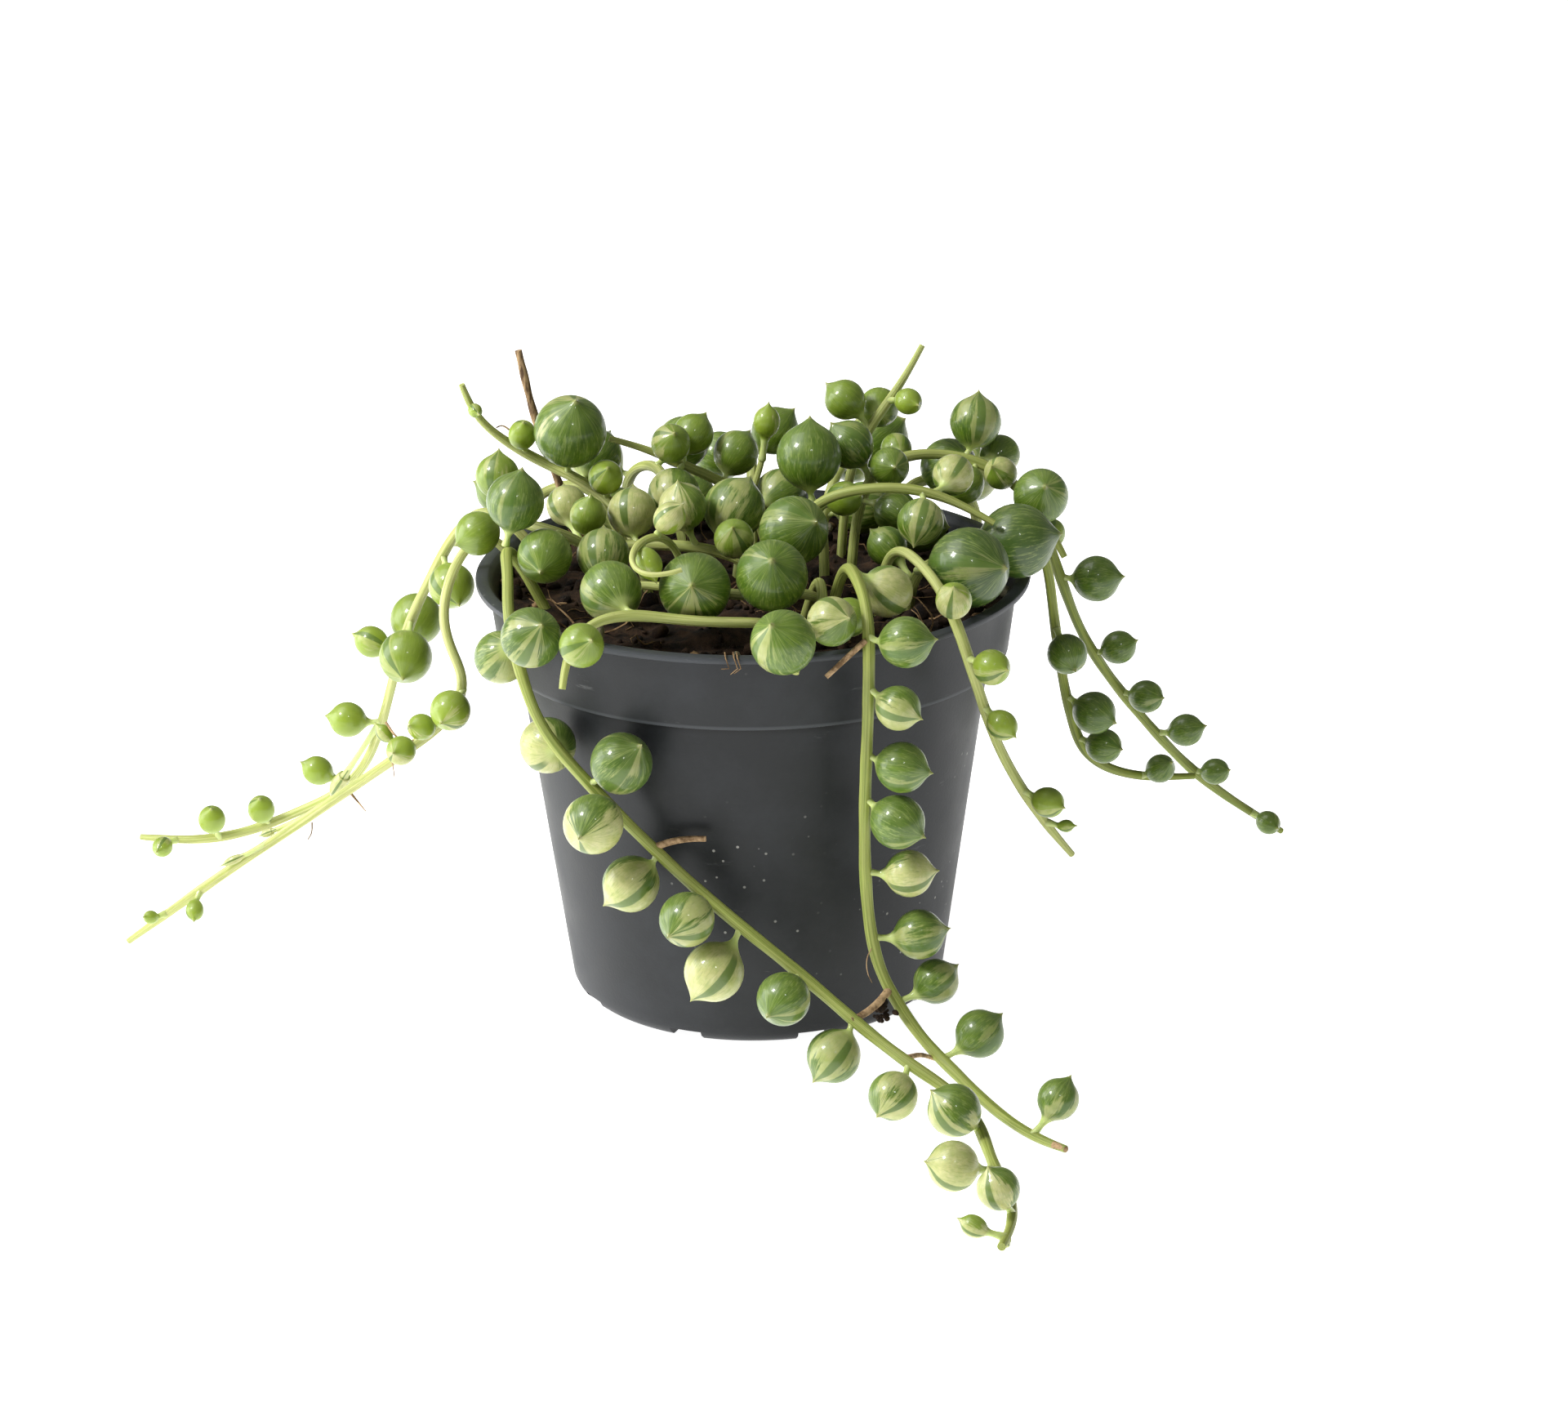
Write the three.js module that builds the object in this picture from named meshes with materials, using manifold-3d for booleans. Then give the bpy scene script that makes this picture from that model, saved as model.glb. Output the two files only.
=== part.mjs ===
// A string of pearls, a trailing succulent, in a small round nursery pot that is filled with soil.
// Millimetres, +Z up. The plant is laid out round the pot's axis with the table at z = 0. At the end the
// whole group is shifted so that the origin is the middle of the footprint, on the table.

import * as THREE from "three";
import { mergeVertices } from "three/addons/utils/BufferGeometryUtils.js";
import Module from "manifold-3d";

const wasm = await Module();
wasm.setup();

// ---------------------------------------------------------------- driving dimensions

const POT_HEIGHT = 55;
const RIM_RADIUS = 35; // outside of the flat lip
const LIP_WIDTH = 1.6;
const LIP_THICKNESS = 0.8;
const COLLAR_TOP_RADIUS = 33.5;
const COLLAR_BOTTOM_RADIUS = 32.2;
const COLLAR_HEIGHT = 10.2; // from the rim down to the step
const BODY_TOP_RADIUS = 30;
const BODY_BOTTOM_RADIUS = 24;
const WALL = 1.2;
const BASE_RAISED = 2.2; // the underside of the base, above the table
const BASE_THICKNESS = 1.4;
const FOOT_RADIUS = 22.8; // outer edge of the flat that meets the table
const FOOT_WIDTH = 3;
const FOOT_COUNT = 9;
const FOOT_CHAMFER = 0.9;
const FOOT_TURN = -3; // degrees from straight ahead to the middle of the first foot
const NOTCH_WIDTH = 4.2;
const NOTCH_HEIGHT = 1.3;
const DRAIN_COUNT = 6;
const DRAIN_RADIUS = 2.6;
const DRAIN_CIRCLE = 14;
const DRAIN_SIDES = 8;
const INNER_EASE = 0.6; // how far the slopes inside the pot start from its corners
const POT_SIDES = 32;
const POT_TURN = 4.1; // degrees that its corners are turned, so that none lies on the X or Y axis

const SOIL_LEVEL = 53; // highest crumb of soil
const SOIL_RELIEF = 1.3;
const SOIL_SIDES = 18;
const CLEARANCE = 0.3; // between neighbouring pieces
const HOLE_CLEARANCE = 0.35; // round a stem, in the soil

const STEM_SIDES = 5;
const STEM_STEP = 4.2; // length of one straight piece of a stem
const BEAD_STEP = 1.5; // spacing of the points that a stem is bent at
const BIG_PEARL = 2.4; // radius above which a pearl has the larger number of sides
const BIG_PEARL_SIDES = 7;
const SMALL_PEARL_SIDES = 5;
const STALK_RADIUS = 0.55; // the short stalk that carries a pearl
const STALK_LENGTH = 0.9; // and its length, for a pearl that is placed by the rule
const STALK_SHORTEST = 0.36;
const STALK_LONGEST = 1.98;
const TIP_LENGTH = 0.16; // the point of a pearl, as a share of its radius

// ---------------------------------------------------------------- colours

const finish = (color, roughness) =>
  new THREE.MeshStandardMaterial({ color, roughness, metalness: 0 });
const POT_PLASTIC = finish(0x575c61, 0.55);
const PEAT = finish(0x2b211a, 0.95);
const PEARL_GREEN = finish(0x6f9447, 0.42);
const DRY_BROWN = finish(0x6b4a2f, 0.85);

// ---------------------------------------------------------------- the stems

// Each stem: its name, thickness, the points that its route bends by, and where its pearls sit, as the place
// of each one's middle with its radius. A stem with `big` has more pearls by a rule: they start `from`
// millimetres along it, `pitch` apart, with radii from `big` down to `small`, on the side that `side`
// points to, alternately `spread` degrees to the left and right of it.
const TRAILING = [
  {
    name: "strand_front_left", width: 1.5,
    route: [[-23, -9, 47], [-31, -8, 63], [-30, -15, 59.5], [-30, -22, 56], [-28, -26, 49], [-26, -26, 43],
      [-20.5, -26, 36], [-12.5, -28, 28], [-5, -30.5, 21.4], [5.3, -34, 13.8], [13, -39, 8.3],
      [18.7, -43.5, 5.4], [23, -46, 3.5], [25.6, -50, 2.1], [26.6, -56, 1.6], [27.3, -64, 1.6],
      [28.9, -72, 1.6], [28.6, -79, 1.6], [27, -84.5, 1.6]],
    sits: [[-28.5, -11, 68.5, 3.6], [-31, -20, 50.5, 3.3], [-26.5, -29.5, 56.5, 3.7],
      [-25.5, -21.5, 39.5, 3.5], [-16, -30, 40, 3.8], [-19.5, -31.5, 33.5, 3.7], [-15.5, -29, 24, 3.5],
      [-8.5, -34, 21, 3.4], [-6, -34, 14, 3.7], [3, -38.5, 12.5, 3.3], [9, -40, 5.5, 3.3],
      [16, -47, 3.3, 3], [23, -55, 5, 3.2], [21.5, -67, 3.2, 3], [27, -77.5, 5.5, 2.5], [24, -82, 3, 1.3]],
  },
  {
    name: "strand_front", width: 1.5,
    route: [[8, -17, 47], [10.5, -20, 63], [12.5, -27, 62], [13.5, -34, 60], [13.5, -37, 56.5],
      [13.5, -37, 50], [13, -34, 34.5], [13.2, -32, 23], [14.4, -32, 14], [17.7, -33, 8.1],
      [20.5, -35.5, 4.9], [23, -37.5, 3], [26, -42.5, 1.7], [29.3, -50.2, 1.6], [32.8, -56, 1.6],
      [36, -59, 1.6]],
    sits: [[17, -22, 59, 3.2], [17, -37, 57.5, 3.1], [17, -39, 50, 2.7], [17.5, -37, 41.5, 3.1],
      [17, -37, 35, 3.3], [18.5, -33, 26.5, 2.9], [20.5, -31.5, 18, 3.1], [22, -31, 11.5, 2.8],
      [27, -36, 6.5, 3], [35.5, -54, 6, 2.5]],
  },
  {
    name: "strand_front_right", width: 1.4,
    route: [[15, -10, 47], [16.5, -12, 63], [21.5, -20, 61], [24, -27, 58], [26, -28, 52],
      [27.5, -26, 46.5], [30, -22, 38], [35, -19, 28.5], [39.5, -16, 22]],
    sits: [[24, -29, 60, 2.2], [28.5, -30.5, 52, 2.2], [30, -27.5, 43.5, 1.8], [36, -22.5, 31.5, 1.9],
      [38.5, -19, 27, 0.8]],
  },
  {
    name: "strand_left_long", width: 1.4,
    route: [[-23, 12, 47], [-33, 12, 61], [-38, 15, 56.5], [-41.5, 18, 49.5], [-44.7, 20, 43],
      [-47.7, 25, 33.5], [-50.7, 33, 22], [-54, 41, 13.4], [-58.8, 48, 7], [-63.3, 51, 4],
      [-70.2, 49, 1.6], [-77.4, 45, 1.6], [-86, 47, 1.6]],
    sits: [[-39, 13, 49, 3], [-45.5, 25.5, 39, 3.5], [-45.5, 15.5, 38.5, 3.5], [-50.5, 25, 37.5, 2.1],
      [-55, 32, 24, 2.4], [-61, 44, 12.5, 2], [-69, 47, 5.5, 1.9], [-75.5, 43.5, 5.5, 1.9],
      [-82.5, 43, 1.5, 1.4]],
  },
  {
    name: "strand_left", width: 1.4,
    route: [[-25, 3, 47], [-33, 2, 61], [-37, 1, 57.5], [-39.5, 0, 51], [-39, -1, 46], [-36.5, -1, 41.5],
      [-38, 0, 36], [-46.5, 1, 29.5], [-57.5, 4, 21], [-69.5, 7, 12], [-83, 9, 1.6]],
    sits: [[-38.5, -4, 38, 2.6], [-42.5, -2, 35, 1.7], [-47.5, 1.5, 33, 1], [-45, -2, 32, 1.9],
      [-73.5, 5, 7.5, 1.2], [-79.5, 6.5, 6, 0.9]],
  },
  {
    name: "strand_right_long", width: 1.4,
    route: [[23, 8, 47], [32, 9, 61], [37.5, 12, 56.5], [39.5, 14, 49.5], [43.5, 20, 37.5], [52, 28, 24],
      [61, 36, 12], [73, 43.5, 1.6]],
    sits: [[44.5, 14, 48.5, 3], [48, 20, 37, 2.2], [52, 23, 29, 2.2], [58, 29, 22, 2.2],
      [62.5, 33, 14.5, 1.8], [70.5, 38, 5, 1.6]],
  },
  {
    name: "strand_right", width: 1.4,
    route: [[26, 1, 47], [32.5, 2, 61], [37, 3, 57], [38.5, 6, 45.5], [40, 10, 35.5], [42.5, 14, 25],
      [46, 16, 21.5], [51.5, 19, 19], [58.5, 22, 18]],
    sits: [[40, 3, 42, 2.6], [44, 8.5, 32, 2.8], [45.5, 11, 26.5, 2.3], [53.5, 17, 21, 1.9]],
  },
];

const CROWN = [
  {
    name: "crown_left_shoot", width: 1.3,
    route: [[-12, -1, 47], [-16, 4, 62], [-22.5, 8, 65], [-29, 10, 67.5], [-35, 10, 72], [-36.5, 9, 77]],
    sits: [[-18.5, 1, 68.5, 2.2], [-22.5, 5, 72, 4.6], [-28.5, 8, 70.5, 1.8], [-35, 8, 74, 0.9]],
  },
  {
    name: "crown_far_left", width: 1.4,
    route: [[-17, -6, 47], [-19, -7, 60], [-24, -8, 62.5], [-29, -5, 63], [-32, 0, 62], [-34, 5, 60]],
    sits: [[-26, -13, 61.5, 3.4], [-33.5, -3, 61.5, 2.8], [-32, 3, 67, 2.8]],
  },
  {
    name: "crown_middle", width: 1.4,
    route: [[2, -7, 47], [1.5, -7, 57], [-3, -6, 59], [-9, -5, 60], [-16, -4, 59.5], [-21, -3, 60],
      [-24, -3, 60]],
    sits: [[-1.5, -11, 63, 2.5], [-3, -3, 64, 3.9], [-8, -6, 66.5, 3], [-15, -2, 62, 3.1],
      [-20.5, -3, 63, 2.3], [-23, 1, 64, 2.6]],
  },
  {
    name: "crown_back_left", width: 1.3,
    route: [[3, 8, 47], [1, 9, 60], [-3, 9, 63.5], [-8, 8, 66], [-13, 8, 68.5], [-18, 8, 70]],
    sits: [[-2, 11, 67, 2.9], [-8, 9, 69.5, 2.6], [-10, 6, 69, 2.5], [-10.5, 3, 64.5, 3.3]],
  },
  {
    name: "crown_right_arch", width: 1.4,
    route: [[4, -3, 47], [5, -5, 61], [8, -8, 66.5], [14, -9, 68.2], [20, -9, 68], [25, -9, 66.3],
      [30, -10, 63.5]],
    sits: [[21, -12, 64.5, 2.9], [25, -5, 68.5, 2.6]],
  },
  {
    name: "crown_centre", width: 1.4,
    route: [[9, 0, 47], [9, 0.5, 60], [8, 0, 64.4], [4, -4, 63], [1, -9, 60.5]],
    sits: [[7.5, 1, 69.5, 4.1], [5.5, -11, 64, 4.3], [11.5, -3, 65, 2.2]],
  },
  {
    name: "crown_right_shoot", width: 1.4,
    route: [[12, 3, 47], [13, 5, 60], [15, 7, 65.5], [20, 8.5, 67.5], [26, 9, 67], [31, 8, 65.5],
      [36, 5, 61.5], [39.5, 3, 55]],
    sits: [[12.5, 6, 69, 3.1], [28, 6, 64.5, 2.5], [29, 11, 69.5, 3.3], [31.5, 14, 66.5, 2.6],
      [31.5, 4, 65, 2.1], [34.5, 1, 62, 3.5], [38, 7, 57, 1.9], [18, 3, 62, 2.8], [17, 4, 66.5, 2.5],
      [18.5, 12, 67, 2]],
  },
  {
    name: "crown_upright", width: 1.3,
    route: [[11, 12, 47], [12, 12.5, 62], [14, 13, 68], [17.5, 14, 72.5], [20, 15, 76], [22, 16, 79.5]],
    sits: [[12, 14, 73, 2.6], [16.5, 17, 71, 2.6], [20, 11, 73.5, 1.7]],
  },
  {
    name: "crown_front_middle", width: 1.4,
    route: [[12, -17, 47], [9, -17.5, 58], [3, -18, 57], [-4, -17.5, 57.5], [-11, -16, 58],
      [-16, -14.5, 58], [-20, -15, 57]],
    sits: [[1.5, -24, 60.5, 4.4], [-7.5, -23, 60.5, 4.4], [-19, -11, 60.5, 3.3]],
  },
  {
    name: "crown_front_left", width: 1.4,
    route: [[4, -22, 47], [4, -24.5, 56], [0, -27.5, 57], [-8, -28, 57.5], [-15, -27.5, 58.5],
      [-20, -29, 58], [-22.5, -32, 55], [-23, -33.5, 51]],
    sits: [[-16, -23, 60.5, 3.8], [-20.5, -35, 57, 2.7]],
  },
  {
    name: "crown_front_right", width: 1.4,
    route: [[5, -10, 47], [8, -14, 59], [9, -22, 58], [8, -29, 58.5], [6, -34, 57.5], [5, -37.5, 54]],
    sits: [[11.5, -29, 60, 2.4], [9, -33, 58.5, 3], [4, -39, 58, 3.9]],
  },
  {
    name: "crown_far_right", width: 1.4,
    route: [[19, -10, 47], [19.5, -11, 58], [22, -12, 59], [25, -8, 59], [28, -3, 58.5], [31, 3, 58]],
    sits: [[15, -11, 60.5, 2.5], [23, -20, 60, 5], [31, -9, 59.5, 4.7]],
  },
  {
    name: "crown_curl", width: 1,
    route: [[-7, -12, 47], [-8.5, -14, 61], [-11, -19, 66], [-14.5, -24, 66], [-15, -28, 64],
      [-12, -30, 63.5], [-8.5, -29.5, 64.5]],
    sits: [[-10, -21.5, 68.5, 1.9], [-13, -23.5, 62.5, 1.7]],
  },
  {
    name: "crown_bud", width: 1.1,
    route: [[-3, 3, 47], [-1, 5, 61], [1, 6, 66], [1.8, 7, 69.5]],
    sits: [[2, 7, 72, 1.7]],
  },
];

// The stems that fall over the back of the rim: the way they go, in degrees from +X, and how far down.
const BACK_WAYS = [[38, 16], [64, 34], [90, 14], [117, 30], [143, 12]];
const BACK_REACH = [[17, 47], [24, 61.5], [31, 61], [36.8, 57.5], [37.8, 51]]; // radius and height

const BACK = BACK_WAYS.map(([way, drop], i) => {
  const [cos, sin] = [Math.cos(way * THREE.MathUtils.DEG2RAD), Math.sin(way * THREE.MathUtils.DEG2RAD)];
  const profile = [...BACK_REACH, [37.4, 57 - drop], [36.6, 52 - drop]];
  return {
    name: "crown_back_" + (i + 1), width: 1.4, seed: 191 + 7 * i,
    route: profile.map(([radius, z]) => [radius * cos, radius * sin, z]),
    sits: [], from: 11, pitch: 8.6, big: 3.9, small: 2.5, side: [0.6 * cos, 0.6 * sin, 1], spread: 50,
  };
});

const DRY_STALK = {
  name: "dry_stalk", width: 1,
  route: [[-19, 10, 47], [-24, 12, 61], [-27.5, 14, 70], [-29.5, 14, 80]],
  sits: [],
};

// ---------------------------------------------------------------- solids

function toSolid(geometry) {
  const bare = geometry.index ? geometry.clone() : geometry;
  bare.deleteAttribute("normal");
  bare.deleteAttribute("uv");
  const merged = mergeVertices(bare, 1e-4);
  const index = merged.index.array;
  const triVerts = [];
  for (let i = 0; i < index.length; i += 3) {
    const [a, b, c] = index.subarray(i, i + 3);
    if (a !== b && b !== c && c !== a) triVerts.push(a, b, c);
  }
  return new wasm.Manifold(new wasm.Mesh({
    numProp: 3,
    vertProperties: new Float32Array(merged.attributes.position.array),
    triVerts: new Uint32Array(triVerts),
  }));
}

function toGeometry(solid) {
  const mesh = solid.getMesh();
  const geometry = new THREE.BufferGeometry();
  geometry.setAttribute("position", new THREE.BufferAttribute(mesh.vertProperties, 3));
  geometry.setIndex(new THREE.BufferAttribute(mesh.triVerts, 1));
  geometry.computeVertexNormals();
  return geometry;
}

// A profile of [radius, height] points turned round the Z axis.
function turned(profile, sides) {
  const points = profile.map(([radius, z]) => new THREE.Vector2(radius, z));
  return new THREE.LatheGeometry(points, sides).rotateX(Math.PI / 2);
}

function part(name, geometry, material) {
  const mesh = new THREE.Mesh(geometry, material);
  mesh.name = name;
  return mesh;
}

// ---------------------------------------------------------------- pot

const COLLAR_Z = POT_HEIGHT - COLLAR_HEIGHT;
const LIP_Z = POT_HEIGHT - LIP_THICKNESS;
const FLOOR_Z = BASE_RAISED + BASE_THICKNESS;

const POT_OUTSIDE = [
  [FOOT_RADIUS, 0],
  [FOOT_RADIUS + FOOT_CHAMFER, 0.6],
  [BODY_BOTTOM_RADIUS, BASE_RAISED],
  [BODY_TOP_RADIUS, COLLAR_Z],
  [COLLAR_BOTTOM_RADIUS, COLLAR_Z],
  [COLLAR_TOP_RADIUS, LIP_Z],
  [RIM_RADIUS, LIP_Z],
  [RIM_RADIUS, POT_HEIGHT],
  [RIM_RADIUS - LIP_WIDTH, POT_HEIGHT],
];
const POT_INSIDE = [
  [COLLAR_TOP_RADIUS - WALL, POT_HEIGHT - 1.4],
  [COLLAR_BOTTOM_RADIUS - WALL, COLLAR_Z + INNER_EASE],
  [BODY_TOP_RADIUS - WALL, COLLAR_Z - 2 * INNER_EASE],
  [BODY_BOTTOM_RADIUS - WALL, FLOOR_Z],
];

function makePot() {
  const footInside = FOOT_RADIUS - FOOT_WIDTH;
  const foot = [[0, BASE_RAISED], [footInside - 0.3, BASE_RAISED], [footInside, 0]];
  const wall = turned([...foot, ...POT_OUTSIDE, ...POT_INSIDE, [0, FLOOR_Z]], POT_SIDES);
  let pot = toSolid(wall.rotateZ(THREE.MathUtils.degToRad(POT_TURN)));
  for (let i = 0; i < FOOT_COUNT; i++) {
    const turn = THREE.MathUtils.degToRad(FOOT_TURN - 90 + (360 / FOOT_COUNT) * (i + 0.5));
    const notch = new THREE.BoxGeometry(2 * FOOT_WIDTH + 2, NOTCH_WIDTH, 2 * NOTCH_HEIGHT);
    pot = pot.subtract(toSolid(notch.translate(FOOT_RADIUS, 0, 0).rotateZ(turn)));
  }
  for (let i = 0; i < DRAIN_COUNT; i++) {
    const turn = ((i + 0.5) * 2 * Math.PI) / DRAIN_COUNT;
    const hole = new THREE.CylinderGeometry(DRAIN_RADIUS, DRAIN_RADIUS, 3 * BASE_THICKNESS, DRAIN_SIDES);
    hole.rotateX(Math.PI / 2).translate(DRAIN_CIRCLE, 0, FLOOR_Z - BASE_THICKNESS / 2).rotateZ(turn);
    pot = pot.subtract(toSolid(hole));
  }
  return toGeometry(pot);
}

// ---------------------------------------------------------------- soil

// How far the crumbly surface lies below SOIL_LEVEL, from 0 to SOIL_RELIEF.
function soilDip(x, y) {
  const wave = Math.sin(0.43 * x + 0.8) * Math.cos(0.37 * y) + 0.6 * Math.sin(0.9 * y - 0.5 * x);
  return SOIL_RELIEF * (0.5 + wave / 3.2);
}

function makeSoil(stems) {
  const top = SOIL_LEVEL - SOIL_RELIEF;
  const side = [
    [0, FLOOR_Z + CLEARANCE],
    [BODY_BOTTOM_RADIUS - WALL - CLEARANCE, FLOOR_Z + CLEARANCE],
    [BODY_TOP_RADIUS - WALL - CLEARANCE, COLLAR_Z - 0.7],
    [COLLAR_BOTTOM_RADIUS - WALL - CLEARANCE, COLLAR_Z + 1.1],
    [COLLAR_TOP_RADIUS - WALL - CLEARANCE - 0.2, top],
  ];
  const rings = [27, 21, 14, 7, 0].map((radius) => [radius, SOIL_LEVEL]);
  const geometry = turned([...side, ...rings], SOIL_SIDES);
  const place = geometry.attributes.position;
  for (let i = 0; i < place.count; i++) {
    const onTop = place.getZ(i) > SOIL_LEVEL - 0.01;
    if (onTop) place.setZ(i, SOIL_LEVEL - soilDip(place.getX(i), place.getY(i)));
  }
  let soil = toSolid(geometry);
  for (const stem of stems) soil = soil.subtract(toSolid(wayIn(stem)));
  return toGeometry(soil);
}

// The plain straight hole that a stem stands in.
function wayIn(stem) {
  const [root, second] = stem.route.slice(0, 2).map((p) => new THREE.Vector3(...p));
  const along = second.clone().sub(root).normalize();
  const length = (SOIL_LEVEL + 1 - root.z) / along.z + HOLE_CLEARANCE;
  const radius = stem.width / 2 + HOLE_CLEARANCE;
  return new THREE.CylinderGeometry(radius, radius, length, 6)
    .translate(0, length / 2 - HOLE_CLEARANCE, 0)
    .applyQuaternion(new THREE.Quaternion().setFromUnitVectors(new THREE.Vector3(0, 1, 0), along))
    .translate(root.x, root.y, root.z);
}

// ---------------------------------------------------------------- how the plant lies

// Repeatable random numbers from 0 to 1.
function seeded(seed) {
  let state = seed;
  return () => {
    state = (state * 16807) % 2147483647;
    return state / 2147483647;
  };
}

// A route with its corners cut three times, then points at an even spacing along it.
function bent(route) {
  let points = route.map((p) => new THREE.Vector3(...p));
  for (let round = 0; round < 3; round++) {
    const cut = [points[0]];
    for (let i = 0; i + 1 < points.length; i++) {
      cut.push(points[i].clone().lerp(points[i + 1], 0.25), points[i].clone().lerp(points[i + 1], 0.75));
    }
    points = [...cut, points[points.length - 1]];
  }
  const reach = [0];
  for (let i = 1; i < points.length; i++) reach.push(reach[i - 1] + points[i].distanceTo(points[i - 1]));
  const count = Math.round(reach[reach.length - 1] / BEAD_STEP);
  const even = [];
  for (let i = 0, k = 1; i <= count; i++) {
    const want = (reach[reach.length - 1] * i) / count;
    while (k < points.length - 1 && reach[k] < want) k++;
    even.push(points[k - 1].clone().lerp(points[k], (want - reach[k - 1]) / (reach[k] - reach[k - 1])));
  }
  return even;
}

// The pearls along one stem: which of its points each grows from, its radius and where its middle is.
function pearlsOn(stem, beads) {
  const pearls = stem.sits.map(([x, y, z, radius]) => {
    const at = new THREE.Vector3(x, y, z);
    const reach = beads.map((bead) => bead.distanceTo(at));
    const nearest = reach.indexOf(Math.min(...reach));
    return { bead: Math.min(Math.max(nearest, 1), beads.length - 2), radius, at };
  });
  if (!stem.big) return pearls;
  const random = seeded(stem.seed);
  const length = BEAD_STEP * (beads.length - 1);
  for (let s = stem.from, i = 0; s < length - 0.5; i++) {
    const share = (s - stem.from) / (length - stem.from);
    const radius = (stem.big + (stem.small - stem.big) * share) * (0.88 + 0.24 * random());
    const bead = Math.min(Math.round(s / BEAD_STEP), beads.length - 2);
    const along = beads[bead + 1].clone().sub(beads[bead - 1]).normalize();
    const side = new THREE.Vector3(...stem.side).projectOnPlane(along).normalize();
    const turn = (i % 2 ? 1 : -1) * stem.spread + 30 * (random() - 0.5);
    side.applyAxisAngle(along, THREE.MathUtils.degToRad(turn));
    const reach = radius + stem.width / 2 + STALK_LENGTH;
    pearls.push({ bead, radius, at: beads[bead].clone().addScaledVector(side, reach) });
    s += stem.pitch * (0.95 + 0.1 * random());
  }
  return pearls;
}

// The nearest way out of the pot and its soil, as [distance outside, radial part, upward part].
const SOLID_OUTLINE = [[0, 0], ...POT_OUTSIDE, [RIM_RADIUS - LIP_WIDTH - 0.4, SOIL_LEVEL], [0, SOIL_LEVEL]];
function wayOut(radial, z) {
  let [best, nr, nz, inside] = [Infinity, 0, 1, false];
  for (let i = 0, j = SOLID_OUTLINE.length - 1; i < SOLID_OUTLINE.length; j = i++) {
    const [[ar, az], [br, bz]] = [SOLID_OUTLINE[j], SOLID_OUTLINE[i]];
    if (az > z !== bz > z && radial < ((br - ar) * (z - az)) / (bz - az) + ar) inside = !inside;
    if (ar === 0 && br === 0) continue;
    const [er, ez] = [br - ar, bz - az];
    const t = Math.min(1, Math.max(0, ((radial - ar) * er + (z - az) * ez) / (er * er + ez * ez)));
    const [dr, dz] = [radial - ar - t * er, z - az - t * ez];
    const distance = Math.hypot(dr, dz);
    if (distance < best) [best, nr, nz] = [distance, dr / (distance || 1), dz / (distance || 1)];
  }
  return inside ? [-best, -nr, -nz] : [best, nr, nz];
}

const ROUNDS = 160;
const EASE = 0.5; // share of an overlap that one round takes away
const STEM_MARGIN = 0.35; // stems keep twice this apart
const PEARL_MARGIN = 0.18;
const PEARL_SWELL = 1.04;
const FREE_ABOVE = 55.5; // a stem can't shift where it is lower than this and still over the soil

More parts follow.
